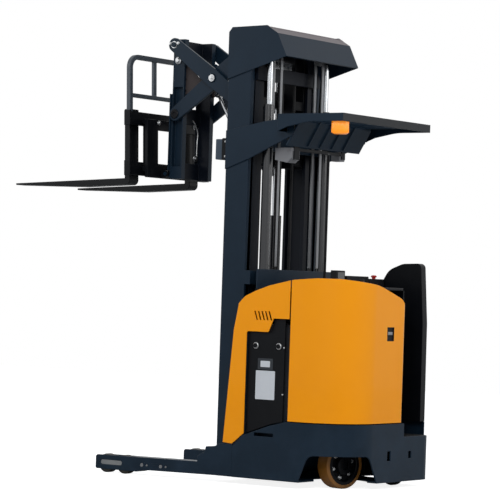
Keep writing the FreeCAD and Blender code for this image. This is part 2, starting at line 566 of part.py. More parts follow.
# Drive cover: a bent shell round the rear left corner, open at the top, hinged at its front edge.
def cover_plan(inset):
    return [("-door_front - 3", f"{HALF} - {inset}"), (f"-rear_reach + {inset}", f"{HALF} - {inset}"),
            (f"-rear_reach + {inset}", f"-cover_right + {inset}"),
            ("-door_front - 3", f"-cover_right + {inset}")]


outer = profile("cover_outer", "XY", cover_plan("0"), "cover_top - skirt_top - cover_gap",
                ("0", "0", "skirt_top + cover_gap"), [(*cover_plan("0")[1], "corner_left"),
                                                      (*cover_plan("0")[2], "40")])
hollow = profile("cover_hollow", "XY", cover_plan("cover_wall"), "cover_top",
                 ("0", "0", "skirt_top"), [(*cover_plan("cover_wall")[1], "corner_left - cover_wall"),
                                           (*cover_plan("cover_wall")[2], "40 - cover_wall")])
inner_open = box("inner_open", "rear_reach - door_front - door_return + 20", "200", "cover_top",
                 ("-rear_reach + door_return", "-cover_right - 100", "skirt_top - 10"))
front_open = box("front_open", "60", "body_width", "cover_top",
                 ("-door_front - 40", "-cover_right - 60", "skirt_top - 10"))
front_keep = box("front_keep", "80", "60", "cover_top + 20", ("-door_front - 45", f"{HALF} - cover_wall",
                                                             "skirt_top - 20"))
HINGE = ("-door_front - 3 - hinge_x", f"{HALF} - hinge_y")
knuckle_levels = ("skirt_top + 100", "skirt_top + 440", "cover_top - 200")
knuckles = [rod(f"knuckle{order}", "knuckle_radius", "knuckle_tall", (*HINGE, z))
            for order, z in enumerate(knuckle_levels)]
pin_hole = rod("pin_hole", "hinge_radius + fit", "cover_top", (*HINGE, "skirt_top"))
crown_side = profile("crown_side", "XZ", [("-door_front + 60", "skirt_top"),
                                          ("-door_front + 60", "cover_top - 30"),
                                          ("-door_front - 20", "cover_top - 14"), ("-drive_x", "cover_top"),
                                          ("-rear_reach - 20", "cover_top"),
                                          ("-rear_reach - 20", "skirt_top")],
                     "body_width + 20", ("0", f"{HALF} + 10", "0"))
crown_back = profile("crown_back", "YZ", [("-cover_right - 5", "skirt_top"),
                                          ("-cover_right - 5", "cover_top - 134"),
                                          ("drive_y - 40", "cover_top - 34"), (f"{HALF} - 90", "cover_top"),
                                          (f"{HALF} + 10", "cover_top"), (f"{HALF} + 10", "skirt_top")],
                     "rear_reach", ("-rear_reach - 10", "0", "0"),
                     [("-cover_right - 5", "cover_top - 134", "130"),
                      ("drive_y - 40", "cover_top - 34", "700")])
latch_hole = box("latch_hole", "60", "80", "86", ("-rear_reach - 20", "-14", "962"))
crown = common("crown", crown_side, crown_back)
door_shell = common("door_shell", cut("door_walls", outer, hollow, inner_open, latch_hole,
                                      cut("front_opening", front_open, front_keep)), crown)
latch_pan = box("latch_pan", "5", "96", "102", ("-rear_reach + cover_wall - 1", "-22", "954"))
latch_grip = box("latch_grip", "10", "52", "20", ("-rear_reach + 2", "0", "1000"))
node("swing_cover", cut("swing_cover_whole", fuse("door_solid", door_shell, latch_pan, latch_grip,
                                                  *knuckles), pin_hole))
hinge_pin = rod("hinge_pin", "hinge_radius", "cover_top - 130 - skirt_top", (*HINGE, "skirt_top + fit"))
strut = box("hinge_strut", "24", "24", "cover_top - 130 - skirt_top",
            (f"{HINGE[0]} - 60", f"{HINGE[1]} - 60",
                                                                      "skirt_top + fit"))
strut_arms = [box(f"strut_arm{order}", "66", "66", "10", (f"{HINGE[0]} - 60", f"{HINGE[1]} - 60", z))
              for order, z in enumerate(("skirt_top + 70", "cover_top - 140"))]
node("hinge_post", fuse("hinge_post_whole", hinge_pin, strut, *strut_arms))
top_plan = [("-door_front + 12", f"{HALF} - 56"), ("-door_front - 62", f"{HALF} - 56"),
            ("-door_front - 62", f"{HALF} - cover_wall - 6"),
            ("-rear_reach + cover_wall + 6", f"{HALF} - cover_wall - 6"),
            ("-rear_reach + cover_wall + 6", "-cover_right + cover_wall + 6"),
            ("-door_front + 12", "-cover_right + cover_wall + 6")]
console_deck = profile("console_top", "XY", top_plan, "16", ("0", "0", "cover_top - 60"),
                  [(*top_plan[3], "corner_left - cover_wall - 6"), (*top_plan[4], "30")])
shelf = box("shelf", "62", "600", "16", ("-door_front - 62", "-480", "cover_top - 60"))
display = box("display", "50", "100", "118", ("-door_front - 56", "5", "cover_top - 60"))
shelf_box = box("shelf_box", "44", "264", "86", ("-door_front - 52", "-290", "cover_top - 60"))
dash = box("dash", "56", "180", "72", ("-door_front - 58", "-476", "cover_top - 60"))
tiller = [rod("tiller_post", "22", "30", ("-drive_x - 20", "drive_y - 60", "cover_top - 50")),
          rod("tiller_disc", "92", "14", ("-drive_x - 20", "drive_y - 60", "cover_top - 34")),
          rod("tiller_knob", "17", "30", ("-drive_x - 84", "drive_y - 60", "cover_top - 24"))]
node("console", fuse("console_whole", console_deck, shelf, display, shelf_box, dash, *tiller))

# Mast: three nested pairs of channels.
def channel(name, half, low, top, slack="0"):
    """A pair of channels, webs outward, with their flanges turned in."""
    front, back = f"-{slack}", f"-mast_depth + {slack}"
    left = profile(name + "_left", "XY",
                   [(front, half), (back, half), (back, f"{half} - flange"),
                    (f"{back} + flange_thick", f"{half} - flange"),
                    (f"{back} + flange_thick", f"{half} - web"),
                    (f"{front} - flange_thick", f"{half} - web"),
                    (f"{front} - flange_thick", f"{half} - flange"),
                    (front, f"{half} - flange")],
                   f"{top} - {low}", ("0", "0", low))
    return [left, mirrored(name + "_right", left)]


def guide_pads(name, half):
    """Four pads on the flange tips of a pair of columns, which guide the pair inside it."""
    pads = []
    for place, x in enumerate(("-flange_thick", "-mast_depth + inner_slack")):
        pads.append(box(f"{name}{place}", "flange_thick - inner_slack", "nest_gap - fit + 2", "120",
                        (x, f"{half} - flange - nest_gap + fit", "inner_top - 200")))
    pair = fuse(name, *pads)
    return [pair, mirrored(name + "_right", pair)]


MID = f"({MAST} - flange - nest_gap)"
INNER = f"({MID} - flange - nest_gap)"
INNER_TIP = f"({INNER} - flange)"
TIE_X = "-mast_depth - tie_thick - nest_gap"


outer_pair = channel("outer_column", MAST, "mast_foot", "mast_top")
foot_tie = box("foot_tie", "mast_depth", f"mast_width", "30", ("-mast_depth", f"-{MAST}", "mast_foot - 26"))
mast_ties = [box(f"outer_tie{order}", "tie_thick", "mast_width", "tie_tall",
                 (f"{TIE_X} - tie_thick", f"-{MAST}", low))
             for order, low in enumerate(("520", "1298", "2180"))]
tie_ends = [box(f"tie_end{order}_{place}", "tie_thick + nest_gap + 2", "flange - 2", "tie_tall",
                (f"{TIE_X} - 1", y, low))
            for order, low in enumerate(("520", "1298", "2180"))
            for place, y in enumerate((f"{MAST} - flange + 2", f"-{MAST}"))]
seat_blocks = [box(f"mast_seat{order}", "body_front - mast_depth + 1 - fit", "50", "180",
                   ("-body_front + fit", y, "mast_foot")) for order,
               y in enumerate((f"{MAST} - 50", f"-{MAST}"))]
node("outer_mast", fuse("outer_mast_whole", *outer_pair, *guide_pads("outer_pads", MAST), foot_tie,
                        *mast_ties, *tie_ends, *seat_blocks))
hood_side = profile("hood_side", "XZ", [("0", "mast_top - 280"), ("0", "hood_top - 36"),
                                        ("-27", "hood_top - 4"),
                                        ("-303", "hood_top"), ("-hood_rear + 74", "hood_top - 54"),
                                        ("-hood_rear", "mast_top - 142")],
                    "hood_plate", ("0", f"{MAST} + hood_plate + fit", "0"),
                    [("-hood_rear", "mast_top - 142", "10")])
hood_back = profile("hood_back", "XZ", [("-hood_rear + 74", "hood_top - 54"),
                                        ("-hood_rear", "mast_top - 142"),
                                        ("-hood_rear + 12", "mast_top - 146"),
                                        ("-hood_rear + 86", "hood_top - 58")],
                    "mast_width + hood_plate * 2", ("0", f"{MAST} + hood_plate", "0"))
hood_roof = profile("hood_roof", "XZ", [("-hood_open", "hood_top - 8"), ("-hood_rear + 74", "hood_top - 54"),
                                        ("-hood_rear + 86", "hood_top - 62"), ("-hood_open", "hood_top - 20")],
                    "mast_width + hood_plate * 2", ("0", f"{MAST} + hood_plate", "0"))
hood_bar = box("hood_bar", "12", "mast_width + hood_plate * 2", "48",
               ("-hood_open - 12", f"-{MAST} - hood_plate", "hood_top - 62"))
hood_ribs = [profile(f"hood_rib{order}", "XZ", [("-hood_open - 2", "hood_top - 14"), ("-hood_rear + 80",
                                                                           "hood_top - 56"),
                                                ("-hood_rear + 8", "mast_top - 144"),
                                                ("-hood_rear + 60", "mast_top - 130"),
                                                ("-330", "hood_top - 120")],
                     "8", ("0", y, "0")) for order, y in enumerate(("144", "-136"))]
node("mast_head", fuse("mast_head_whole", hood_side, mirrored("hood_side_right", hood_side), hood_back,
                       hood_roof,
                       hood_bar, *hood_ribs))

mid_pair = channel("mid_column", MID, "inner_foot", "inner_top")
mid_ties = [box(f"mid_tie{order}", "tie_thick", f"{MID} * 2", "tie_tall",
                ("-mast_depth - tie_thick", f"-{MID}", low))
            for order, low in enumerate(("700", "2640"))]
head_tie = box("mid_head", "60", f"{MID} * 2", "30", ("-lift_x - 30", f"-{MID}", "inner_top - 34"))
head_ears = [box(f"mid_ear{order}", "lift_x + 30 - mast_depth + 20", "30", "30",
                 ("-lift_x - 30", y, "inner_top - 34")) for order,
             y in enumerate((f"{MID} - 30", f"-{MID}"))]
chain_set = []
for order, y in enumerate(("chain_y", "-chain_y - 26")):
    chain_set.append(box(f"sheave_ear{order}", "16", "38", "sheave_radius + 26",
                         ("-lift_x - 8", f"{y} - 6", "inner_top - 30 - sheave_radius - 24")))
    chain_set.append(rod(f"sheave{order}", "sheave_radius", "26",
                         ("-lift_x", y, "inner_top - 64 - sheave_radius"), "Y"))
    for place, x in enumerate(("-lift_x - sheave_radius", "-lift_x + sheave_radius - 8")):
        chain_set.append(box(f"chain{order}_{place}", "8", "22",
                             "inner_top - 64 - sheave_radius - chain_low",
                             (x, f"{y} + 2", "chain_low")))
hoses = [rod(f"mast_hose{order}", "hose_radius", "1900", ("-mast_depth - hose_radius + 1", y, "780"))
         for order, y in enumerate(("96", "62", "-78"))]
node("mid_mast", fuse("mid_mast_whole", *mid_pair, *guide_pads("mid_pads", MID), *mid_ties, head_tie,
                      *head_ears,
                      *chain_set, *hoses))
inner_pair = channel("inner_column", INNER, "inner_foot", "inner_top", "inner_slack")
inner_head = box("inner_head", "16", f"{INNER} * 2 - 4", "50",
                 ("-mast_depth + inner_slack", f"-{INNER} + 2",
                                                             "inner_top - 50"))
inner_base = box("inner_base", "mast_depth - inner_slack * 2", f"{INNER} * 2 - 4", "24",
                 ("-mast_depth + inner_slack", f"-{INNER} + 2", "inner_foot"))
node("inner_mast", fuse("inner_mast_whole", *inner_pair, inner_head, inner_base))
free_tube = rod("free_tube", "free_radius", "1650", ("-free_x", "0", "inner_foot + 24 + fit"))
free_bore = rod("free_bore", "rod_radius + 4 + fit", "1650", ("-free_x", "0", "inner_foot + 54"))
node("free_lift_cylinder", cut("free_barrel", free_tube, free_bore))
free_rod = rod("free_rod", "rod_radius + 4", "1060", ("-free_x", "0", "1690"))
free_head = box("free_head", "60", "200", "50", ("-free_x - 30", "-100", "2740"))
node("free_lift_crosshead", fuse("free_crosshead_whole", free_rod, free_head))
barrels, lift_rods = [], []
for order, y in enumerate(("lift_y", "-lift_y")):
    tube = rod(f"lift_tube{order}", "lift_radius", "2400", ("-lift_x", y, "80"))
    bore = rod(f"lift_bore{order}", "rod_radius + fit", "2400", ("-lift_x", y, "130"))
    foot = box(f"lift_foot{order}", "70", "80", "30", ("-lift_x - 35", f"{y} - 40",
                                                       "floor_gap + base_wall + fit"))
    barrels.append(cut(f"lift_barrel{order}", fuse(f"lift_set{order}", tube, foot), bore))
    lift_rods.append(rod(f"lift_rod{order}", "rod_radius", "inner_top - 34 - 150 - fit",
                         ("-lift_x", y, "150")))
node("lift_cylinders", group("lift_tubes", *barrels))
node("lift_rods", group("lift_rod_pair", *lift_rods))

# Overhead guard: curved side plates, a rim, fore and aft bars and a lip towards the mast.
guard_half = "guard_width / 2"
side_plate = profile("guard_side", "XZ",
                     [("-guard_front - 60", "guard_top - 10"), ("-300", "guard_top - 40"),
                      ("0", "guard_top - 95"),
                      ("0", "guard_top - 350"), ("-195", "guard_top - 280"), ("-390", "guard_top - 193"),
                      ("-guard_front - 60", "guard_top - 130")],
                     "guard_plate", ("0", f"{MAST} + guard_plate + fit", "0"))
roof_side = profile("roof_side", "XZ",
                    [("-guard_rear", "guard_top"), ("-guard_front - 80", "guard_top"),
                     ("-guard_front", "guard_top - 12"),
                     ("-guard_front", "guard_top - 112"), ("-guard_front - 74", "guard_top - 84"),
                     ("-guard_front - 244", "guard_top - guard_rim"),
                     ("-guard_rear", "guard_top - guard_rim")],
                    "guard_plate", ("0", guard_half, "0"), [("-guard_front - 244", "guard_top - guard_rim",
                                                             "500")])
shoulder = box("guard_shoulder", "guard_plate", f"{guard_half} - {MAST}", "100",
               ("-guard_front - guard_plate", MAST,
                                                                            "guard_top - 112"))
rim_left = box("rim_left", "guard_rear - guard_front", f"{guard_half} - bar_pitch * 3", "guard_plate",
               ("-guard_rear", "bar_pitch * 3", "guard_top - guard_plate"))
rim_rear = box("rim_rear", "guard_plate", "guard_width", "guard_rim", ("-guard_rear", f"-{guard_half}",
                                                                     "guard_top - guard_rim"))
bars = [box(f"guard_bar{order}", "guard_rear - guard_front", "bar_thick", "34",
            ("-guard_rear + 2", f"{order - 3} * bar_pitch - bar_thick / 2",
             "guard_top - 36")) for order in range(7)]
lip = profile("guard_lip", "XZ", [("-guard_front", "guard_top - 193"),
                                  ("-guard_front - 90", "guard_top - 50"),
                                  ("-guard_front - 90", "guard_top - 30"),
                                  ("-guard_front - 102", "guard_top - 30"),
                                  ("-guard_front - 102", "guard_top - 50"),
                                  ("-guard_front - 12", "guard_top - 200")],
              "mast_width + guard_plate * 2", ("0", f"{MAST} + guard_plate", "0"))
lip_ribs = [profile(f"lip_rib{order}", "XZ", [("-guard_front - 4", "guard_top - 188"),
                                              ("-guard_front - 96", "guard_top - 40"),
                                              ("-guard_front - 124", "guard_top - 34"),
                                              ("-guard_front - 30", "guard_top - 192")],
                    "10", ("0", f"({order} - 1.5) * rib_pitch + 5", "0")) for order in range(4)]
guard_half_parts = fuse("guard_left", side_plate, roof_side, shoulder, rim_left)
node("overhead_guard", fuse("guard_whole", guard_half_parts, mirrored("guard_right", guard_half_parts),
                            rim_rear, lip,
                            *lip_ribs, *bars))
node("amber_lamp", rod("lamp_body", "lamp_radius", "lamp_tall", ("-guard_rear + 70", "guard_width / 2 - 75",
                                                               "guard_top - guard_plate - lamp_tall - fit")))
# A control box and a small relay hung from the guard, and the cable from there down to the battery's hood.
relay_box = profile("relay_box", "XZ", [("-guard_front + 140", "guard_top - 205"),
                                        ("-guard_front + 12", "guard_top - 205"),
                                        ("-guard_front + 12", "guard_top - 275"),
                                        ("-guard_front + 44", "guard_top - 303"),
                                        ("-guard_front + 140", "guard_top - 285")], "100",
                    ("0", "345", "0"))
hanger = box("relay_hanger", "13 - fit", "60", "90", ("-guard_front + fit", "265", "guard_top - 285"))
small_relay = box("small_relay", "70", "60", "60", ("-guard_front + 12 - fit", "-290", "guard_top - 260"))
small_hanger = box("small_hanger", "13 - fit", "40", "60", ("-guard_front + fit", "-280",
                                                            "guard_top - 250"))
tray_bar = box("tray_bar", "20", "640", "20", ("-guard_front + 8", "-290", "guard_top - 225"))
cable = rod("guard_cable", "cable_radius", "guard_top - 220 - cover_top + 60",
            ("-cable_x", "-cable_y", "cover_top - 60"))
boot = rod("cable_boot", "cable_radius + 10", "60", ("-cable_x", "-cable_y", "cover_top - 68 + fit"))
node("guard_fittings", fuse("guard_fittings_whole", relay_box, hanger, small_relay, small_hanger, tray_bar,
                            cable, boot))

# Scissor: the mast carriage, two pairs of arms, the front frame and two reach cylinders.
def arm(name, y, wide="arm_wide"):
    """A plate from the centre pin to both ends, drawn upright, with a round eye at each end."""
    spine = profile(name + "_spine", "XZ",
                    [("-arm_end", "-arm_half"), (f"-{wide} / 2", "0"), ("-arm_end", "arm_half"),
                     ("arm_end", "arm_half"), (f"{wide} / 2", "0"), ("arm_end", "-arm_half")],
                    "arm_thick", ("0", f"{y} + arm_thick", "0"))
    eyes = [rod(f"{name}_eye{order}", "arm_end", "arm_thick", ("0", y, z), "Y")
            for order, z in enumerate(("-arm_half", "arm_half"))]
    return fuse(name, spine, *eyes)


lift = "arm_half * cos(arm_angle * 1deg)"
reach = "arm_half * sin(arm_angle * 1deg)"
centre = (f"-pivot_x + {reach}", "0", f"pivot_high - {lift}")
inner_arm = arm("inner_arm", "arm_inner_y")
inner_roller = rod("inner_roller", "roller_radius", "arm_inner_y - rail_y - rail_wall - 2",
                   ("0", "rail_y + rail_wall + 2", "-arm_half"), "Y")
inner_side = fuse("inner_side", inner_arm, inner_roller)
inner_hole = rod("inner_hole", "pin_radius + fit", "400", ("0", "0", "arm_half"), "Y")
inner_centre = rod("inner_centre", "pin_radius + 10", "arm_outer_y + arm_thick + 8 - arm_inner_y",
                   ("0", "arm_inner_y", "0"), "Y")
inner_left = fuse("inner_left", cut("inner_bored", inner_side, inner_hole), inner_centre)
cross_tube = rod("cross_tube", "link_radius", "arm_inner_y * 2", ("0", "-arm_inner_y", "0"), "Y")
# The ears of the reach rods, drawn with the arm upright: the arm is then turned to its angle.
ear_x = "ear_reach * sin((ear_lean + arm_angle) * 1deg)"
ear_z = "-ear_reach * cos((ear_lean + arm_angle) * 1deg)"
ears = []
for order, y in enumerate(("reach_y + 19", "-reach_y - 33")):
    ear_spine = profile(f"ear_spine{order}", "XZ",
                        [("-20", "0"), (f"{ear_x} - 20", ear_z), (f"{ear_x} + 20", ear_z), ("20", "0")],
                        "14", ("0", f"{y} + 14", "0"))
    ears.append(fuse(f"ear{order}", ear_spine, rod(f"ear_end{order}", "reach_eye", "14", (ear_x, y, ear_z),
                                                   "Y")))
node("inner_arms", fuse("inner_arms_whole", inner_left, mirrored("inner_right", inner_left), cross_tube,
                        *ears),
     centre, (0, 1, 0), "-arm_angle")
outer_arm = arm("outer_arm", "arm_outer_y")
outer_roller = rod("outer_roller", "roller_radius", "arm_outer_y - rail_y - rail_wall - 2",
                   ("0", "rail_y + rail_wall + 2", "-arm_half"), "Y")
outer_holes = [rod("outer_hole_top", "pin_radius + fit", "400", ("0", "0", "arm_half"), "Y"),
               rod("outer_hole_mid", "pin_radius + 10 + fit", "400", ("0", "0", "0"), "Y")]
outer_left = cut("outer_left", fuse("outer_side", outer_arm, outer_roller), *outer_holes)
node("outer_arms", group("outer_arms_whole", outer_left, mirrored("outer_right", outer_left)),
     centre, (0, 1, 0), "arm_angle")


def rail(name, x, top="pivot_high - arm_half * 0.7"):
    """A channel, open outward, in which an arm's roller runs."""
    block = box(name + "_block", "rail_deep", "rail_wide", f"{top} - rail_low",
                (f"{x} - rail_deep / 2", "rail_y",
                                                                            "rail_low"))
    groove = box(name + "_groove", "rail_deep - rail_wall * 2", "rail_wide", f"{top} - rail_low + 2",
                 (f"{x} - rail_deep / 2 + rail_wall", "rail_y + rail_wall", "rail_low - 1"))
    return cut(name, block, groove)


back_rail = rail("back_rail", "-pivot_x")
back_head = box("back_head", "rail_deep", "rail_wide", "arm_half * 0.7 + head_rise",
                ("-pivot_x - rail_deep / 2", "rail_y",
                                                             "pivot_high - arm_half * 0.7"))
back_pin = rod("back_pin", "pin_radius", "arm_inner_y + arm_thick + 5 - rail_y - 10",
               ("-pivot_x", "rail_y + 10", "pivot_high"), "Y")
back_left = fuse("back_left", back_rail, back_head, back_pin)
back_bars = [box(f"back_bar{order}", "16", "rail_y * 2 + 10", "120", ("-pivot_x + 12", "-rail_y - 5", z))
             for order, z in enumerate(("rail_low + 5", "2480", "2820"))]
PLATE_Y = f"({INNER_TIP} - 5.5)"
back_plate = box("back_plate", "104", "8", "880", ("-mast_depth + inner_slack + flange_thick + 2",
                                                   f"{PLATE_Y} - 8",
                                                  "rail_low"))
back_stubs = [box(f"back_stub{order}", "36", f"{PLATE_Y} - rail_y - 10", "60",
                  ("-mast_depth + inner_slack + flange_thick + 2", "rail_y + 10", z))
              for order, z in enumerate(("rail_low + 20", "2480", "2850"))]
back_web = box("back_web", "60", "rail_wall", "880", ("-mast_depth + inner_slack + flange_thick + 2",
                                                      "rail_y",
                                                    "rail_low"))
back_rollers = [rod(f"back_roller{order}", "mast_depth / 2 - inner_slack - flange_thick - fit", "22",
                    ("-mast_depth / 2", f"{PLATE_Y} + 8", z), "Y")
                for order, z in enumerate(("2200", "2800"))]
back_axles = [rod(f"back_axle{order}", "18", "14", ("-mast_depth / 2", f"{PLATE_Y} - 4", z), "Y")
              for order, z in enumerate(("2200", "2800"))]
bracket = box("reach_bracket", "80", "16", "264", ("reach_x - 50", "rail_y - 16", "reach_high - 24"))
reach_pin = rod("reach_pin", "12", "rail_y - reach_y + 16", ("reach_x", "reach_y - 18", "reach_high"), "Y")
back_side = fuse("back_side", back_left, back_plate, back_web, bracket, reach_pin, *back_stubs,
                 *back_rollers,
                 *back_axles)
node("mast_carriage", fuse("mast_carriage_whole", back_side, mirrored("mast_carriage_right", back_side),
                           *back_bars))

# Reach cylinders: tubes hinged low on the mast carriage, rods that end beside the inner arms' ears.
EYE_X = f"({centre[0]} + ear_reach * sin(ear_lean * 1deg) - reach_x)"
EYE_Z = f"({centre[2]} - ear_reach * cos(ear_lean * 1deg) - reach_high)"
LONG = f"sqrt({EYE_X} * {EYE_X} + {EYE_Z} * {EYE_Z})"
LEAN = f"atan({EYE_X} / {EYE_Z}) / 1deg"
reach_sets = {"tube": [], "rod": []}
for order, y in enumerate(("reach_y", "-reach_y")):
    barrel = rod(f"reach_barrel{order}", "reach_radius", "reach_tube - 20", ("0", y, "20"))
    reach_bore = rod(f"reach_bore{order}", "reach_rod + fit", "reach_tube", ("0", y, "28 - 24"))
    tube_eye = rod(f"reach_tube_eye{order}", "reach_eye", "24", ("0", f"{y} - 12", "0"), "Y")
    tube_hole = rod(f"reach_tube_hole{order}", "12 + fit", "40", ("0", f"{y} - 20", "0"), "Y")
    reach_sets["tube"].append(cut(f"reach_tube{order}", fuse(f"reach_solid{order}", cut(
        f"reach_hollow{order}", barrel, reach_bore), tube_eye), tube_hole))
    stem_bar = rod(f"reach_stem{order}", "reach_rod", f"{LONG} - reach_inner", ("0", y, "reach_inner"))
    rod_eye = rod(f"reach_rod_eye{order}", "reach_eye", "24", ("0", f"{y} - 12", LONG), "Y")
    rod_pin = rod(f"reach_rod_pin{order}", "12", "32", ("0", f"{y} - 16", LONG), "Y")
    reach_sets["rod"].append(fuse(f"reach_rod{order}", stem_bar, rod_eye, rod_pin))
for label, plural in (("tube", "reach_cylinders"), ("rod", "reach_rods")):
    node(plural, group(plural + "_pair", *reach_sets[label]), ("reach_x", "0", "reach_high"), (0, 1, 0),
         LEAN)

front_x = "-pivot_x + arm_half * 2 * sin(arm_angle * 1deg)"
front_rail = rail("front_rail", "0")
front_head = box("front_head", "rail_deep", "rail_wide", "arm_half * 0.7 + head_rise",
                 ("-rail_deep / 2", "rail_y",
                                                               "pivot_high - arm_half * 0.7"))
front_foot = box("front_foot", "rail_deep", "rail_wide", "rail_low - frame_low",
                 ("-rail_deep / 2", "rail_y",
                                                                               "frame_low"))
front_pin = rod("front_pin", "pin_radius", "arm_outer_y + arm_thick + 12 - rail_y - 10",
                ("0", "rail_y + 10",
                                                                                     "pivot_high"), "Y")
front_left = fuse("front_left", front_rail, front_head, front_foot, front_pin)
front_bars = [box(f"front_bar{order}", "14", "rail_y * 2 + 10", "110",
                  ("rail_deep / 2 - 14", "-rail_y - 5", z))
              for order, z in enumerate(("frame_low + 5", "2380", "2840"))]
EAR = f"(tilt_x - ({front_x}))"
front_plates = [box(f"front_plate{order}", "8", "96", "520", ("rail_deep / 2 - 1", y, "frame_low + 58"))
                for order, y in enumerate(("rail_y - 30", "-rail_y - 66"))]
tilt_ears = []
for order, y in enumerate(("rail_y + 2", "-rail_y - 2 - tilt_ear")):
    plate = box(f"front_ear_plate{order}", f"{EAR} - rail_deep / 2 + 4", "tilt_ear", "tilt_eye * 2",
                ("rail_deep / 2 - 4", y, "tilt_high - tilt_eye"))
    eye = rod(f"front_ear_eye{order}", "tilt_eye", "tilt_ear", (EAR, y, "tilt_high"), "Y")
    tilt_ears.append(fuse(f"front_ear{order}", plate, eye))
tilt_pins = [rod(f"tilt_pin{order}", "tilt_pin", "tilt_ear * 2 + 8", (EAR, y, "tilt_high"), "Y")
             for order, y in enumerate(("rail_y + 2", "-rail_y - 10 - tilt_ear * 2"))]
node("front_frame", fuse("front_frame_whole", front_left, mirrored("front_right", front_left), *front_bars,
                         *tilt_ears,
                         *tilt_pins, *front_plates), (front_x, "0", "0"))

# Fork carriage: it tilts on the front frame, and a second frame shifts sideways on it.
tilt_block = box("tilt_block", "tilt_plate", "tilt_width", "tilt_top - tilt_high + 30",
                 ("tilt_eye + 4", "-tilt_width / 2", "-30"))
tilt_window = box("tilt_window", "tilt_plate + 10", "tilt_width - 240", "tilt_top - tilt_high - 130",
                  ("tilt_eye", "-tilt_width / 2 + 120", "60"))
tilt_eyes = []
for order, y in enumerate(("rail_y + 6 + tilt_ear", "-rail_y - 6 - tilt_ear * 2")):
    plate = box(f"tilt_lug_plate{order}", "tilt_eye + 6", "tilt_ear", "tilt_eye * 2", ("0", y, "-tilt_eye"))
    eye = rod(f"tilt_lug_eye{order}", "tilt_eye", "tilt_ear", ("0", y, "0"), "Y")
    tilt_eyes += [plate, eye]
tilt_bore = rod("tilt_bore", "tilt_pin + fit", "tilt_width", ("0", "-tilt_width / 2", "0"), "Y")
back_rails = [box(f"shift_rail{order}", "22", "tilt_width", "26",
                  ("tilt_eye + 4 + tilt_plate - 1", "-tilt_width / 2", z))
              for order, z in enumerate(("bar_low - tilt_high + 30", "tilt_top - tilt_high - 30"))]
tilt_solid = fuse("tilt_solid", cut("tilt_open", tilt_block, tilt_window), *tilt_eyes, *back_rails)
node("tilt_frame", cut("tilt_whole", tilt_solid, tilt_bore), ("tilt_x", "0", "tilt_high"), (0, 1, 0),
     "fork_tilt")
back_face = "fork_face - fork_thick - tilt_x"
bars_two = [box(f"carriage_bar{order}", "bar_deep", "bar_width", "bar_tall",
                (f"{back_face} - bar_deep", "-bar_width / 2", f"{z} - tilt_high"))
            for order, z in enumerate(("bar_low", "bar_high"))]
uprights = [box(f"carriage_upright{order}", "bar_deep - 8", "60", "bar_high - bar_low",
                (f"{back_face} - bar_deep + 4", y, "bar_low + 40 - tilt_high"))
            for order, y in enumerate(("190", "-250"))]
slide_pads = [box(f"slide_pad{order}_{place}",
                  f"{back_face} - bar_deep - tilt_eye - tilt_plate - 25 - fit * 2 + 2",
                  "80", "40", ("tilt_eye + tilt_plate + 25 + fit * 2", y, z))
              for order, z in enumerate(("bar_low - tilt_high + 24", "bar_high - tilt_high + 8"))
              for place, y in enumerate(("180", "-260"))]
end_stops = [box(f"end_stop{order}_{place}", "bar_deep + 16", "14", "bar_tall + 12",
                 (f"{back_face} - bar_deep - 16", y, f"{z} - tilt_high - 6"))
             for order, z in enumerate(("bar_low", "bar_high"))
             for place, y in enumerate(("bar_width / 2 - 1", "-bar_width / 2 - 13"))]
node("fork_carriage", fuse("carriage_whole", *bars_two, *uprights, *slide_pads, *end_stops),
     ("tilt_x", "0", "tilt_high"), (0, 1, 0), "fork_tilt")
def hoop(name, inset, low):
    """A plate with rounded upper corners, for the backrest's frame and its opening."""
    half, top = f"rest_width / 2 - {inset}", f"rest_top - {inset} - tilt_high"
    return profile(name, "YZ", [(half, low), (half, top), (f"-({half})", top), (f"-({half})", low)],
                   "rest_tube",
                   (f"{back_face} - bar_deep", "0", "0"),
                   [(half, top, f"rest_round - {inset}"), (f"-({half})", top, f"rest_round - {inset}")])


rest_foot = "bar_high + bar_tall - tilt_high + fit"
frame_hoop = cut("frame_hoop", hoop("hoop_outer", "0", rest_foot),
                 hoop("hoop_inner", "rest_tube", f"{rest_foot} - 1"))
rest_low = box("rest_low", "rest_tube", "rest_width - 4", "26",
               (f"{back_face} - bar_deep", "-rest_width / 2 + 2",
                                                               "2548 - tilt_high"))
slats = [box(f"rest_slat{order}", "20", "34", "rest_top - 2560 - 20",
             (f"{back_face} - bar_deep + 6", f"{spot} * rest_width / 6 - 17", "2565 - tilt_high"))
         for order, spot in enumerate((-1, 1))]
node("load_backrest", fuse("backrest_whole", frame_hoop, rest_low, *slats), ("tilt_x", "0", "tilt_high"),
     (0, 1, 0), "fork_tilt")
for side, label in ((1, "left"), (-1, "right")):
    fork_plate = profile(f"fork_{label}_plate", "XZ",
                         [("fork_face + fork_length - tilt_x",
                           "fork_low + fork_thick - fork_tip - tilt_high"),
                          ("fork_face + fork_length - tilt_x", "fork_low + fork_thick - tilt_high"),
                          ("fork_face - tilt_x", "fork_low + fork_thick - tilt_high"),
                          ("fork_face - tilt_x", "fork_high - tilt_high"),
                          ("fork_face - fork_thick - tilt_x + fit", "fork_high - tilt_high"),
                          ("fork_face - fork_thick - tilt_x + fit", "fork_low - tilt_high"),
                          ("fork_face + fork_length * 0.4 - tilt_x", "fork_low - tilt_high")],
                         "fork_width", ("0", f"{side} * fork_y + fork_width / 2", "0"),
                         [("fork_face - fork_thick - tilt_x + fit", "fork_low - tilt_high", "34")])
    node(f"fork_{label}", fork_plate, ("tilt_x", "0", "tilt_high"), (0, 1, 0),
         "fork_tilt")

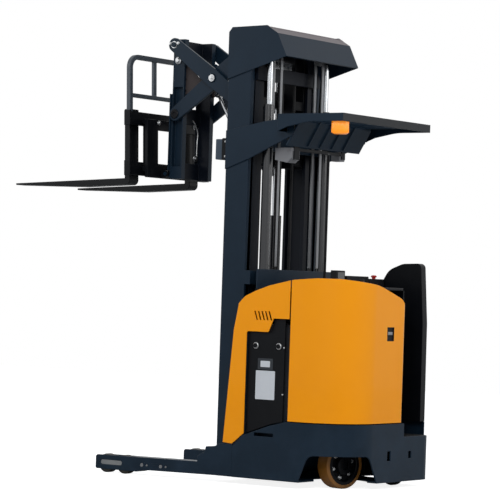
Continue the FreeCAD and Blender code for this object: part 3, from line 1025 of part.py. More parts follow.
doc.recompute()
bad = [item.Name for item in doc.Objects if "Invalid" in item.State or "Error" in item.State]
if bad:
    raise SystemExit(f"objects that failed: {bad}")
os.makedirs("parts", exist_ok=True)
for item in nodes:
    if item.Shape.isNull() or not item.Shape.isValid():
        raise SystemExit(f"{item.Label} has no valid shape")
for item in nodes:
    item.Shape.exportStep(f"parts/{item.Label}.step")
print(len(nodes), "sub-parts")
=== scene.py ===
import json
import math

import bpy
import bmesh
from mathutils import Matrix, Vector


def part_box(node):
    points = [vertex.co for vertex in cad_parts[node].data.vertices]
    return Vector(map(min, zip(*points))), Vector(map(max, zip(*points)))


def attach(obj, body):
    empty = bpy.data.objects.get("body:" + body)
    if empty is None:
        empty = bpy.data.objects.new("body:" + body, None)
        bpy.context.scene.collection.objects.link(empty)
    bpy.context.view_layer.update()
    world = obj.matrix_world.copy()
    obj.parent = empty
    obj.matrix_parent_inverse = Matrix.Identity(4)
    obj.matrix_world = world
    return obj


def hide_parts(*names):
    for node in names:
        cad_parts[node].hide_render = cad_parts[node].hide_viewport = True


# Stand-up pantograph reach truck, parked, seen from its rear left.
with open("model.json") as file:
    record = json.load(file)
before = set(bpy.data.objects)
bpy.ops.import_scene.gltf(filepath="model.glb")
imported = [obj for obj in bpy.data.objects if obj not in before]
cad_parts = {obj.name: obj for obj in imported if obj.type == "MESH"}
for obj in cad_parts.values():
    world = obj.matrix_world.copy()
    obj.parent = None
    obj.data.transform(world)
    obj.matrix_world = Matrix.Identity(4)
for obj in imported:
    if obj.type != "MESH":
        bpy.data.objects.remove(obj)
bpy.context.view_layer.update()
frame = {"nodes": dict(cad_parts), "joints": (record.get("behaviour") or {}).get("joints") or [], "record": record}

# Camera at the photograph's angle: far off and level, with its horizon a little under the middle.
# The photograph is rolled by about two degrees, so the camera is too.
MAST_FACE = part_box("outer_mast")[1].x          # lengths along the truck are counted from here


def place(x, y, z):
    """A point given in millimetres from the mast's front face, in the frame's metres."""
    return Vector((MAST_FACE + x / 1000, y / 1000, z / 1000))


PHOTO_PIXELS = 500             # the photograph's width
FOCAL_PIXELS = 2420            # the lens's focal length, in the photograph's pixels
SENSOR_MM = 36
eye = place(-9346.7, 13316.6, 1268.5)
heading = math.radians(54.71)
roll = math.radians(1.91)
ahead = Vector((math.cos(heading), -math.sin(heading), 0))
level = Vector((-math.sin(heading), -math.cos(heading), 0))
upright = Vector((0, 0, 1))
right = level * math.cos(roll) + upright * math.sin(roll)
up = upright * math.cos(roll) - level * math.sin(roll)
lens = bpy.data.cameras.new("photo_lens")
lens.sensor_width = SENSOR_MM
lens.lens = FOCAL_PIXELS / PHOTO_PIXELS * SENSOR_MM
lens.shift_x = 0.0026
lens.shift_y = 0.0776
camera = bpy.data.objects.new("photo_camera", lens)
turn = Matrix((right, up, -ahead)).transposed()
camera.matrix_world = Matrix.Translation(eye) @ turn.to_4x4()
bpy.context.scene.collection.objects.link(camera)
bpy.context.scene.camera = camera
bpy.context.scene.view_settings.view_transform = "Standard"


# Floor and backdrop: a plain pale sheet, lit by three soft boxes and a pale sky.
# The camera sees the sheet close to white, and the truck's shadow stays on it.
def linear(text):
    """A sRGB hex colour as linear RGBA."""
    parts = [int(text[i:i + 2], 16) / 255 for i in (0, 2, 4)]
    return [p / 12.92 if p <= 0.04045 else ((p + 0.055) / 1.055) ** 2.4 for p in parts] + [1]


def add(tree, kind, settings, links=()):
    """Adds a node to a tree, with its settings and what feeds its inputs."""
    node = tree.nodes.new(kind)
    for name, value in settings.items():
        if isinstance(name, int) or name in node.inputs:
            node.inputs[name].default_value = value
        else:
            setattr(node, name, value)
    for source, socket in links:
        tree.links.new(source, node.inputs[socket])
    return node


SKY_STRENGTH = 0.34            # what the sky gives the truck
FLOOR_GLOW = 0.86              # what the camera alone sees the sheet give
FLOOR_HALF = 14                # metres from the middle to the sheet's edge
world = bpy.data.worlds.new("studio")
bpy.context.scene.world = world
world.use_nodes = True
sky = world.node_tree
sky.nodes.clear()
ray = add(sky, "ShaderNodeLightPath", {})
clear = add(sky, "ShaderNodeMath", {"operation": "MAXIMUM"},
            [(ray.outputs["Is Glossy Ray"], 0), (ray.outputs["Is Transmission Ray"], 1)])
seen = add(sky, "ShaderNodeMath", {"operation": "MAXIMUM"},
           [(ray.outputs["Is Camera Ray"], 0), (clear.outputs[0], 1)])
dim = add(sky, "ShaderNodeBackground", {"Color": linear("e6ecf4"), "Strength": SKY_STRENGTH})
white = add(sky, "ShaderNodeBackground", {"Color": linear("ffffff"), "Strength": 1.0})
shown = add(sky, "ShaderNodeMixShader", {},
            [(seen.outputs[0], 0), (dim.outputs[0], 1), (white.outputs[0], 2)])
add(sky, "ShaderNodeOutputWorld", {}, [(shown.outputs[0], "Surface")])

floor_mesh = bpy.data.meshes.new("studio_floor")
floor_mesh.from_pydata([(x * FLOOR_HALF, y * FLOOR_HALF, 0) for x, y in ((-1, -1), (1, -1), (1, 1), (-1, 1))],
                       [], [(0, 1, 2, 3)])
studio_floor = bpy.data.objects.new("studio_floor", floor_mesh)
bpy.context.scene.collection.objects.link(studio_floor)
floor_sheet = bpy.data.materials.new("pale_floor")
floor_sheet.use_nodes = True
net = floor_sheet.node_tree
matt = net.nodes["Principled BSDF"]
matt.inputs["Base Color"].default_value = linear("dcdcdb")
matt.inputs["Roughness"].default_value = 0.9
path = add(net, "ShaderNodeLightPath", {})
glow = add(net, "ShaderNodeEmission", {"Color": linear("ffffff"), "Strength": FLOOR_GLOW})
lit = add(net, "ShaderNodeAddShader", {}, [(matt.outputs[0], 0), (glow.outputs[0], 1)])
sheet = add(net, "ShaderNodeMixShader", {},
            [(path.outputs["Is Camera Ray"], 0), (matt.outputs[0], 1), (lit.outputs[0], 2)])
net.links.new(sheet.outputs[0], net.nodes["Material Output"].inputs["Surface"])
floor_mesh.materials.append(floor_sheet)

for name, spot, aim, size, power in (
        ("soft_box_left", (-4.5, 7.0, 5.5), (0, 0, 1.4), 3.6, 300),
        ("soft_box_rear", (-7.5, -2.0, 4.0), (-0.8, 0, 1.0), 3.0, 130),
        ("soft_box_front", (6.0, 5.0, 5.0), (0.4, 0, 1.8), 3.5, 110)):
    lamp = bpy.data.lights.new(name, "AREA")
    lamp.size = size
    lamp.energy = power
    holder = bpy.data.objects.new(name, lamp)
    facing = (Vector(aim) - Vector(spot)).to_track_quat("-Z", "Y").to_matrix().to_4x4()
    holder.matrix_world = Matrix.Translation(spot) @ facing
    bpy.context.scene.collection.objects.link(holder)


# Welded and pressed steel: chassis, legs, mast, head, guard and scissor, sprayed in satin navy.
# Each is a copy of its solid with the hard edges rounded, as a grinder and the coat leave them.
BODY_OF = {node: body for body, names in frame["record"]["behaviour"]["bodies"].items() for node in names}
SLOT_OF = {row["node"]: row["material_slot"] for row in frame["record"]["subparts"]}
CLOUD_MM = 200                 # width of the faint clouds in a coat
DUST_TOP = 0.9                 # metres above the floor at which the dust is down to its least
DUST_STARTS, DUST_FULL = 0.42, 0.78            # levels of the clouds between which dust lies
PEEL_DEPTH = 0.0006            # metres, deeper than a real coat's, so that it shows
# A grain's peel_mm is its size. Orange peel is drawn at its real size, and moulded and ground grains, which
# are finer than a millimetre, are drawn coarser so that they show.


def sprayed(name, colour, dust, roughness, peel_mm=3.0, peel=0.05, coat=0.0, metallic=0.0, dust_low=0.85,
            shine=0.5):
    """A coat or a moulding: its colour clouded a little, dustier towards the floor, with a fine grain."""
    made = bpy.data.materials.new(name)
    made.use_nodes = True
    net = made.node_tree
    skin = net.nodes["Principled BSDF"]
    spot = add(net, "ShaderNodeTexCoord", {}).outputs["Object"]
    cloud = add(net, "ShaderNodeTexNoise", {"Scale": 1000 / CLOUD_MM, "Detail": 5.0, "Roughness": 0.6},
                [(spot, "Vector")])
    height = add(net, "ShaderNodeSeparateXYZ", {}, [(spot, 0)])
    low = add(net, "ShaderNodeMapRange",
              {"From Min": 0.0, "From Max": DUST_TOP, "To Min": dust_low, "To Max": dust_low * 0.3},
              [(height.outputs["Z"], "Value")])
    patch = add(net, "ShaderNodeMapRange",
                {"From Min": DUST_STARTS, "From Max": DUST_FULL, "To Min": 0.0, "To Max": 1.0},
                [(cloud.outputs["Fac"], "Value")])
    share = add(net, "ShaderNodeMath", {"operation": "MULTIPLY"},
                [(low.outputs["Result"], 0), (patch.outputs["Result"], 1)])
    tone = add(net, "ShaderNodeMix", {"data_type": "RGBA", 6: linear(colour), 7: linear(dust)},
               [(share.outputs[0], 0)])
    net.links.new(tone.outputs[2], skin.inputs["Base Color"])
    rough = add(net, "ShaderNodeMapRange", {"To Min": max(roughness - 0.05, 0.02), "To Max": roughness + 0.1},
                [(cloud.outputs["Fac"], "Value")])
    net.links.new(rough.outputs["Result"], skin.inputs["Roughness"])
    grain = add(net, "ShaderNodeTexNoise", {"Scale": 1000 / peel_mm, "Detail": 2.0}, [(spot, "Vector")])
    bump = add(net, "ShaderNodeBump", {"Strength": peel, "Distance": PEEL_DEPTH},
               [(grain.outputs["Fac"], "Height")])
    net.links.new(bump.outputs["Normal"], skin.inputs["Normal"])
    skin.inputs["Metallic"].default_value = metallic
    skin.inputs["Coat Weight"].default_value = coat
    skin.inputs["Specular IOR Level"].default_value = shine
    return made


def settled(part, material, body, slot, *nodes, patches=()):
    """Applies a piece's modifiers, gives it its finish, with patches of others, and fixes it to its body.
    A patch is a finish and two corners: each face that lies between them takes that finish."""
    bpy.context.view_layer.update()
    evaluated = part.evaluated_get(bpy.context.evaluated_depsgraph_get())
    mesh = bpy.data.meshes.new_from_object(evaluated)
    part.modifiers.clear()
    mesh.name = part.name
    part.data = mesh
    mesh.materials.clear()
    mesh.materials.append(material)
    mesh.polygons.foreach_set("material_index", [0] * len(mesh.polygons))
    for finish, low, high in patches:
        mesh.materials.append(finish)
        lower = place(*low)
        upper = place(*high)
        for face in mesh.polygons:
            if all(lower[k] <= mesh.vertices[v].co[k] <= upper[k] for v in face.vertices for k in range(3)):
                face.material_index = len(mesh.materials) - 1
    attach(part, body)
    if nodes:
        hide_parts(*nodes)
    return part


def shaped(name, shape):
    """Turns a bmesh into an object at the origin, every face smooth."""
    for face in shape.faces:
        face.smooth = True
    mesh = bpy.data.meshes.new(name)
    shape.to_mesh(mesh)
    shape.free()
    part = bpy.data.objects.new(name, mesh)
    bpy.context.scene.collection.objects.link(part)
    return part


def eased(part, edge_mm, clamped=False):
    """Rounds a piece's hard edges over, and keeps its flat faces flat in the light."""
    edge = part.modifiers.new("edge", "BEVEL")
    edge.width = edge_mm / 1000
    edge.segments = 2
    edge.limit_method = "ANGLE"
    edge.angle_limit = math.radians(32)
    edge.use_clamp_overlap = clamped
    flat = part.modifiers.new("flat", "WEIGHTED_NORMAL")
    flat.keep_sharp = True
    flat.weight = 80
    return part


def softened(material, edge_mm, *names, patches=(), clamped=False):
    """Stands a merged copy of a node's own shape in its place, with its hard edges rounded over."""
    for name in names:
        shape = bmesh.new()
        shape.from_mesh(frame["nodes"][name].data)
        bmesh.ops.remove_doubles(shape, verts=shape.verts, dist=2e-5)
        bmesh.ops.dissolve_limit(shape, angle_limit=math.radians(0.8), verts=shape.verts, edges=shape.edges)
        part = eased(shaped(name + "_skin", shape), edge_mm, clamped)
        settled(part, material, BODY_OF[name], SLOT_OF[name], name, patches=patches)


# Sprayed satin enamel in navy: nearly black in shade, with a soft blue where the light falls on it.
navy = sprayed("navy_satin_coat", "132331", "1e2f3f", 0.34, shine=0.14)
# The same enamel in a lighter warm grey on the head's top: painted light, standing for the light that falls on the
# top from above.
head_top_painted_light = sprayed("taupe_satin_coat", "5d5458", "6f666a", 0.45, shine=0.4)
# Pressed-on plastic trim along the guard's rear edge: matt, with a grain that breaks up any highlight.
edging = sprayed("guard_edging_plastic", "1c1f22", "3a3d40", 0.6, peel_mm=1.5, peel=0.2, shine=0.3)
guard_rear_edge = (edging, (-990, -540, 2330), (-972, 540, 2405))
# Painted light: the faces on the head's top take the lighter grey coat, as if lit from above.
lit_head_top_patch = (head_top_painted_light, (-420, -700, 2920), (-150, 700, 3010))
softened(navy, 2.5, "chassis_frame", "leg_left", "leg_right", "outer_mast", "inner_arms", "outer_arms")
softened(navy, 2.5, "overhead_guard", patches=[guard_rear_edge])
softened(navy, 2.5, "mast_head", clamped=True, patches=[lit_head_top_patch])

# Smaller steel parts, sprayed satin black: the right wall, gates, panels, carriages and cylinders.
# The boxes, cable and boot under the guard are mouldings, each with a finish of its own.
# Satin black enamel: darker than the navy, and it keeps only a dull sheen.
black = sprayed("black_satin_coat", "090b0f", "15171b", 0.36, shine=0.12)
# Gloss black on the cylinders: a narrow bright streak runs down each barrel.
barrel_black = sprayed("cylinder_gloss_coat", "14171c", "20242a", 0.2, coat=0.3)
# Powder coat on the load backrest's tubes: a lighter, greyer steel than the rest.
smoke = sprayed("smoke_grey_powder_coat", "3d454d", "4a5058", 0.4, shine=0.4)
# Moulded housings: flat mid grey with a fine texture.
relay_grey = sprayed("relay_grey_plastic", "75767a", "8a8a8c", 0.5, peel_mm=1.2, peel=0.1)
# Moulded rubber: black that drinks the light, with a dusty bloom.
rubber = sprayed("black_rubber", "0e0f11", "1c1d1f", 0.62, peel_mm=1.0, peel=0.12, shine=0.3)
control_box = (relay_grey, (-490, 235, 2090), (-330, 355, 2200))
small_relay = (relay_grey, (-490, -300, 2130), (-390, -225, 2205))
cable_boot = (rubber, (-500, -115, 1275), (-440, -70, 1345))
guard_cable = (relay_grey, (-485, -105, 1345), (-455, -80, 2185))
softened(black, 2.0, "right_wall", "battery_gate_left", "battery_gate_right", "rear_bulkhead",
         "compartment_panel", "drive_unit", "caster_fork", "fork_carriage", "tilt_frame", "mast_carriage",
         "reach_cylinders")
softened(barrel_black, 2.0, "lift_cylinders", "free_lift_cylinder")
softened(black, 1.5, "hinge_post", clamped=True)
softened(smoke, 2.5, "load_backrest")
softened(black, 2.0, "guard_fittings", patches=[control_box, small_relay, cable_boot, guard_cable])

# Inner masts and front frame: rolled channels, with steel chains and rubber hoses inside the middle mast.
# Chains and hoses are parts of the middle mast's shape. The front frame's panel is darker than its rails.
CHAIN_ACROSS = 245             # from the truck's middle to each pair of chains
HOSES_ACROSS = (96, 62, -78)
# Thin black enamel on the channels: nearly black, and duller than the satin coats.
mast_black = sprayed("mast_black_coat", "0c111a", "171d27", 0.4, shine=0.12)
# Machined steel: a bright, slightly brushed grey.
machined = sprayed("machined_steel", "8d8f92", "6d6b68", 0.3, peel_mm=0.8, peel=0.06, metallic=1.0)
frame_panel = (mast_black, (540, -140, 1990), (720, 140, 2960))
chain_straps = [(machined, (-306, across - 14, 1400), (-234, across + 14, 2860))
                for across in (CHAIN_ACROSS, -CHAIN_ACROSS)]
hose_lines = [(rubber, (-199, across - 11, 780), (-177, across + 11, 2690)) for across in HOSES_ACROSS]
softened(mast_black, 2.0, "inner_mast")
softened(navy, 2.5, "front_frame", patches=[frame_panel])
softened(mast_black, 2.0, "mid_mast", patches=chain_straps + hose_lines)

# Covers: pressed sheet in a gloss yellow, with a clear top coat that mirrors the lights softly.
# The latch on the rear cover is a black pan with a bright grip across it.
# Two-coat gloss enamel: a full orange yellow with one soft, wide highlight.
yellow = sprayed("yellow_gloss_coat", "ffa000", "f49300", 0.3, peel=0.03, coat=0.08, dust_low=0.5, shine=0.2)
latch_pan = (black, (-1080, -24, 952), (-1058, 76, 1058))
latch_grip = (machined, (-1074.5, -1, 999), (-1064, 53, 1021))
softened(yellow, 2.0, "side_cover_left", "side_cover_right")
softened(yellow, 2.0, "swing_cover", patches=[latch_pan, latch_grip])

# Battery tray, forks and console: coated sheet, forged steel and moulded plastic.
# Each is cleaner than the parts near the ground, and the forks' arrises are the roundest.
# Acid-proof coat on the tray: a plain even grey.
battery_coat = sprayed("battery_grey_coat", "2b2e33", "45474a", 0.5)
# Thin black on forged steel: a coarse, uneven surface under a low sheen.
forged = sprayed("fork_black_coat", "0b0d10", "1c1e22", 0.38, peel_mm=6, peel=0.12, shine=0.15)
# Moulded black plastic: a fine grain that dulls the highlights.
moulded = sprayed("moulded_black_plastic", "0e0f12", "1d1e21", 0.5, peel_mm=1.2, peel=0.15, shine=0.2)
softened(battery_coat, 4.0, "battery")
softened(forged, 4.0, "fork_left", "fork_right")
softened(moulded, 3.0, "console", "operator_floor")

# Rods: ground steel with hard chrome on it, in the mast's cylinders and the reach cylinders.
# The free lift's crosshead shares the finish of the rod that carries it.
# Hard chrome: a bright line down each rod, and the dark mast mirrored beside it.
chrome = sprayed("hard_chrome", "b4b7bb", "9a9da1", 0.14, peel=0.01, metallic=1.0)
softened(chrome, 1.5, "lift_rods", "reach_rods", "free_lift_crosshead")


# Drive wheel: a band of cast polyurethane on a black steel rim with six bright bolts.
# Each part is a profile turned round the axle; the bolts are one head repeated round the rim.
def turned(name, centre, axis, profile, steps=72):
    """Turns a profile of (along, radius) points, in millimetres, round an axis through centre."""
    axis = Vector(axis).normalized()
    out = axis.orthogonal().normalized()
    over = axis.cross(out)
    solid = profile[0][1] == 0 and profile[-1][1] == 0
    shape = bmesh.new()
    rings = []
    for step in range(steps):
        angle = math.tau * step / steps
        spoke = out * math.cos(angle) + over * math.sin(angle)
        rings.append([shape.verts.new(Vector(centre) + axis * (along / 1000) + spoke * (radius / 1000))
                      for along, radius in profile])
    for one, two in zip(rings, rings[1:] + rings[:1]):
        for k in range(len(profile) - (1 if solid else 0)):
            n = (k + 1) % len(profile)
            shape.faces.new((one[k], one[n], two[n], two[k]))
    bmesh.ops.remove_doubles(shape, verts=shape.verts, dist=1e-6)
    bmesh.ops.recalc_face_normals(shape, faces=shape.faces)
    return shaped(name, shape)


# The tree that repeats a unit: copy k stands at Centre + Start turned k times by Angle + k times Step.
repeat = bpy.data.node_groups.new("repeat_unit", "GeometryNodeTree")
for label, kind in (("Geometry", "Geometry"), ("Unit", "Object"), ("Count", "Int"), ("Centre", "Vector"),
                    ("Start", "Vector"), ("Step", "Vector"), ("Axis", "Vector"), ("Angle", "Float"),
                    ("Material", "Material")):
    repeat.interface.new_socket(label, in_out="INPUT", socket_type="NodeSocket" + kind)
repeat.interface.new_socket("Geometry", in_out="OUTPUT", socket_type="NodeSocketGeometry")
given = add(repeat, "NodeGroupInput", {}).outputs
line = add(repeat, "GeometryNodeMeshLine", {}, [(given["Count"], "Count")])
index = add(repeat, "GeometryNodeInputIndex", {})
angle = add(repeat, "ShaderNodeMath", {"operation": "MULTIPLY"},
            [(index.outputs[0], 0), (given["Angle"], 1)])
spun = add(repeat, "ShaderNodeVectorRotate", {"rotation_type": "AXIS_ANGLE"},
           [(given["Start"], "Vector"), (given["Axis"], "Axis"), (angle.outputs[0], "Angle")])
along = add(repeat, "ShaderNodeVectorMath", {"operation": "SCALE"},
            [(given["Step"], 0), (index.outputs[0], "Scale")])
offset = add(repeat, "ShaderNodeVectorMath", {"operation": "ADD"},
             [(spun.outputs[0], 0), (along.outputs[0], 1)])
spot = add(repeat, "ShaderNodeVectorMath", {"operation": "ADD"},
           [(offset.outputs[0], 0), (given["Centre"], 1)])
put = add(repeat, "GeometryNodeSetPosition", {},
          [(line.outputs[0], "Geometry"), (spot.outputs[0], "Position")])
facing = add(repeat, "FunctionNodeAxisAngleToRotation", {},
             [(given["Axis"], "Axis"), (angle.outputs[0], "Angle")])
unit = add(repeat, "GeometryNodeObjectInfo", {}, [(given["Unit"], "Object")])
copies = add(repeat, "GeometryNodeInstanceOnPoints", {},
             [(put.outputs[0], "Points"), (facing.outputs[0], "Rotation"),
              (unit.outputs["Geometry"], "Instance")])
real = add(repeat, "GeometryNodeRealizeInstances", {}, [(copies.outputs[0], "Geometry")])
coated = add(repeat, "GeometryNodeSetMaterial", {},
             [(real.outputs[0], "Geometry"), (given["Material"], "Material")])
add(repeat, "NodeGroupOutput", {}, [(coated.outputs[0], "Geometry")])
SOCKETS = {item.name: item.identifier for item in repeat.interface.items_tree if item.in_out == "INPUT"}


def repeated(name, unit, material, body, slot, count, centre, start=(0, 0, 0), step=(0, 0, 0), axis=(0, 0, 1),
             angle=0.0):
    """Repeats a unit, made at the origin, along a step or round an axis, as one piece of a body."""
    part = bpy.data.objects.new(name, bpy.data.meshes.new(name))
    bpy.context.scene.collection.objects.link(part)
    rows = part.modifiers.new("rows", "NODES")
    rows.node_group = repeat
    for label, value in (("Unit", unit), ("Count", count), ("Centre", tuple(centre)),
                         ("Start", tuple(v / 1000 for v in start)), ("Step", tuple(v / 1000 for v in step)),
                         ("Axis", tuple(axis)), ("Angle", float(angle)), ("Material", material)):
        rows[SOCKETS[label]] = value
    settled(part, material, body, slot)
    mesh = unit.data
    bpy.data.objects.remove(unit)
    bpy.data.meshes.remove(mesh)
    return part


def bolt_head(across_mm, axis, tall_mm=None):
    """A hexagon head on its washer, at the origin, with its top towards axis."""
    half = across_mm / 2
    tall = tall_mm or across_mm * 0.45
    washer = turned("washer", (0, 0, 0), axis,
                    [(0, 0), (0, half * 1.35), (1.6, half * 1.35), (2.2, half * 1.1), (2.2, 0)], 24)
    head = turned("head", (0, 0, 0), axis,
                  [(2, 0), (2, half), (2 + tall * 0.8, half), (2 + tall, half * 0.8), (2 + tall, 0)], 6)
    for face in head.data.polygons:
        face.use_smooth = False
    both = bmesh.new()
    both.from_mesh(washer.data)
    both.from_mesh(head.data)
    both.to_mesh(washer.data)
    both.free()
    mesh = head.data
    bpy.data.objects.remove(head)
    bpy.data.meshes.remove(mesh)
    return washer


JOINT = {row["name"]: row for row in frame["joints"]}
drive_centre = Vector(JOINT["drive_spin"]["pos_m"])
drive_axis = Vector(JOINT["drive_spin"]["axis"])
RIM_BOLT_CIRCLE = 82           # radius
RIM_FACE = 0.0255              # metres from the wheel's middle to the face that the bolts sit on
# Cast polyurethane: a brown amber that looks waxy and picks up dust.
tread = sprayed("amber_polyurethane", "8a5a1c", "4a3a22", 0.5, peel_mm=4, peel=0.1)
# Zinc plating: small bright heads with a milky sheen.
zinc = sprayed("zinc_plated_steel", "b9bbbd", "8f8d88", 0.32, peel_mm=1.0, peel=0.04, metallic=1.0)
settled(eased(turned("drive_tyre", drive_centre, drive_axis, [
    (-48, 127), (-48, 146), (-44, 151), (-34, 152.3), (34, 152.3), (44, 151), (48, 146), (48, 127)]), 1.0),
    tread, "drive_wheel", "polyurethane")
settled(eased(turned("drive_rim", drive_centre, drive_axis, [
    (-47, 127.5), (-47, 107), (-44, 102.5), (-26, 99), (-25, 62), (-53, 60), (-56, 55), (-56, 27.5),
    (47, 27.5), (47, 60), (44, 70), (44, 110), (47, 127.5)]), 1.0),
    black, "drive_wheel", "black_paint", "drive_wheel")
repeated("drive_wheel_bolts", bolt_head(21, -drive_axis), zinc, "drive_wheel", "grey_steel", 6,
         drive_centre - drive_axis * RIM_FACE, start=drive_axis.orthogonal().normalized() * RIM_BOLT_CIRCLE,
         axis=drive_axis, angle=math.tau / 6)

# Load wheels and caster: dark cast polyurethane tyres on steel hubs with sealed bearings.
# Each tyre and hub is a turned profile; the shoulders are rounded and the bearing is set in.
LEFT = (0, 1, 0)
# Dark cast polyurethane: near black, warm and waxy, and scuffed to brown.
tyre_black = sprayed("dark_polyurethane", "17140f", "322c22", 0.48, peel_mm=3, peel=0.1)
load_wheels = ("load_wheel_left_front", "load_wheel_left_rear", "load_wheel_right_front",
               "load_wheel_right_rear")
for wheels, half, radius, rim, bore in ((load_wheels, 31, 63.5, 36, 12.6),
                                        (("caster_wheel",), 27.5, 75, 42, 10.6)):
    for wheel in wheels:
        centre = (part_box(wheel)[0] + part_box(wheel)[1]) / 2
        settled(eased(turned(wheel + "_tyre", centre, LEFT, [
            (-half, rim), (-half, radius - 6), (-half + 4, radius - 1.2), (-half + 11, radius - 0.1),
            (half - 11, radius - 0.1), (half - 4, radius - 1.2), (half, radius - 6), (half, rim)]), 0.8),
            tyre_black, BODY_OF[wheel], "polyurethane", wheel)
        settled(eased(turned(wheel + "_hub", centre, LEFT, [
            (-half + 1, bore), (-half + 1, bore + 6), (-half + 4, bore + 8), (-half + 4, rim - 4),
            (-half + 0.5, rim - 3), (-half + 0.5, rim + 0.5), (half - 0.5, rim + 0.5), (half - 0.5, rim - 3),
            (half - 4, rim - 4), (half - 4, bore + 8), (half - 1, bore + 6), (half - 1, bore)]), 0.6),
            machined, BODY_OF[wheel], "grey_steel")


# Beacon, hung from the guard: a fluted amber lens below, a clear one above it, and a black base on top.
# All parts are turned, and one flute is repeated round the lens; light goes a little way into the plastic, and
# both lenses give off a faint painted glow.
def lens_with_painted_glow(name, colour, weight):
    """A cast lens: partly clear, with a faint painted glow in its own colour that stands in for light passing
    through it.
    """
    made = sprayed(name, colour, colour, 0.12, peel_mm=5, peel=0.08, coat=0.3)
    skin = made.node_tree.nodes["Principled BSDF"]
    skin.inputs["Transmission Weight"].default_value = weight
    # Painted glow: a faint light in the lens's own colour, standing in for light through the plastic.
    skin.inputs["Emission Color"].default_value = linear(colour)
    skin.inputs["Emission Strength"].default_value = 0.3
    return made


RISE = (0, 0, 1)
FLUTES = 36
lamp_low, lamp_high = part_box("amber_lamp")
lamp_foot = Vector(((lamp_low.x + lamp_high.x) / 2, (lamp_low.y + lamp_high.y) / 2, lamp_low.z))
lamp_body = BODY_OF["amber_lamp"]
# Acrylic in amber: a painted glow makes it look warmly lit from inside.
amber = lens_with_painted_glow("amber_lens", "ffa01c", 0.1)
# The same acrylic without colour: a milky band with the same painted glow.
frosted = lens_with_painted_glow("clear_lens", "f0e6d6", 0.15)
settled(eased(turned("beacon_lens", lamp_foot, RISE, [
    (0, 0), (0, 40), (5, 49), (14, 53), (40, 54.5), (82, 55), (84, 55.8), (86, 55.8), (86, 0)]), 1.0),
    amber, lamp_body, "amber_lens", "amber_lamp")
settled(eased(turned("beacon_top", lamp_foot, RISE, [
    (86, 0), (86, 55.8), (88, 55), (112, 54), (112, 0)]), 1.0), frosted, lamp_body, "amber_lens")
settled(eased(turned("beacon_base", lamp_foot, RISE, [
    (112, 0), (112, 50), (119.5, 50), (119.5, 0)]), 0.8), black, lamp_body, "black_paint")
flute = turned("flute", (0, 0, 0), RISE, [(6, 0), (9, 1.6), (78, 1.6), (81, 0)], 10)
repeated("beacon_flutes", flute, amber, lamp_body, "amber_lens", FLUTES, lamp_foot, start=(54.2, 0, 2),
         angle=math.tau / FLUTES)


# Gates: each has two knobs with bright rings, two blank plates and two screws.
# The plates are thin film with rounded corners, stuck on; the upper one has a pale window.
def thickened(shape, outline, depth):
    """Closes an outline with a face, and pulls the face out along depth into a solid."""
    face = shape.faces.new([shape.verts.new(point) for point in outline])
    pulled = bmesh.ops.extrude_face_region(shape, geom=[face])["geom"]
    bmesh.ops.translate(shape, vec=depth, verts=[v for v in pulled if isinstance(v, bmesh.types.BMVert)])
    bmesh.ops.recalc_face_normals(shape, faces=shape.faces)


def flat_plate(name, centre, across, over, width, tall, thick, corner, edge_mm):
    """A plate with rounded corners: width runs along across, tall along over, thick away from the back."""
    across = Vector(across).normalized()
    over = Vector(over).normalized()
    outline = []
    for cx, cy, first in ((1, 1, 0), (-1, 1, 90), (-1, -1, 180), (1, -1, 270)):
        for step in range(5):
            bend = math.radians(first + step * 22.5)
            x = cx * (width / 2 - corner) + corner * math.cos(bend)
            y = cy * (tall / 2 - corner) + corner * math.sin(bend)
            outline.append(Vector(centre) + across * (x / 1000) + over * (y / 1000))
    shape = bmesh.new()
    thickened(shape, outline, across.cross(over) * (thick / 1000))
    return eased(shaped(name, shape), edge_mm)


SIDES = ((1, "left"), (-1, "right"))
GATE_FACE = 523.0              # from the truck's middle to a gate's outer face
KNOBS_X, KNOBS_Z = (-365, -545), 905
# Printed film before any print: pale, smooth and faintly blue.
pale_film = sprayed("pale_label_film", "cdd2d8", "b9bec4", 0.35, shine=0.4)
# The same film in slate: it stands out from the gate only by its gloss.
dark_film = sprayed("dark_label_film", "20262d", "2c3239", 0.35, shine=0.4)
for side, mark in SIDES:
    face = side * GATE_FACE
    out = (0, side, 0)
    for label, x, y, z, width, tall, thick, corner, film in (
            ("upper_plate", -443, face, 788, 118, 72, 1.2, 6, dark_film),
            ("lower_plate", -446, face, 652, 150, 186, 1.2, 6, pale_film),
            ("upper_window", -443, face + side * 1.2, 788, 74, 40, 0.8, 5, pale_film)):
        settled(flat_plate(f"gate_{label}_{mark}", place(x, y, z), (-side, 0, 0), RISE, width, tall, thick,
                           corner, 0.4), film, "chassis", "black_paint")
    for order, x in enumerate(KNOBS_X):
        settled(eased(turned(f"gate_knob_ring_{mark}_{order + 1}", place(x, face, KNOBS_Z), out, [
            (0, 15.2), (0, 21), (5, 21), (8, 18), (8, 15.2)], 40), 0.5), zinc, "chassis", "grey_steel")
    repeated(f"gate_screws_{mark}", bolt_head(9, out, 4), zinc, "chassis", "grey_steel", 2,
             place(-585, face, 897), step=(0, 0, -300))

# Scissor: stepped bright washers on its middle and front pins, and two bolts beside each front pin.
# The washers are turned, and all of them ride on the outer arms.
middle_pin = Vector(JOINT["arm_cross"]["pos_m"])
front_pin = Vector(JOINT["front_pivot"]["pos_m"])
MIDDLE_PIN_END, FRONT_PIN_END = 0.245, 0.237   # metres from the truck's middle to the pins' ends
for side, mark in SIDES:
    out = (0, side, 0)
    for name, end in (("centre", middle_pin + Vector(out) * MIDDLE_PIN_END),
                      ("front", front_pin + Vector(out) * FRONT_PIN_END)):
        settled(eased(turned(f"arm_{name}_washer_{mark}", end, out, [
            (0, 0), (0, 24), (2.5, 24), (2.5, 17), (5, 16), (5, 9), (9, 8), (9, 0)], 48), 0.5),
            zinc, "outer_arms", "grey_steel")
    repeated(f"arm_front_bolts_{mark}", bolt_head(17, out), zinc, "outer_arms", "grey_steel", 2,
             front_pin + Vector(out) * FRONT_PIN_END, start=(33, 0, 8), axis=LEFT, angle=math.radians(-150))

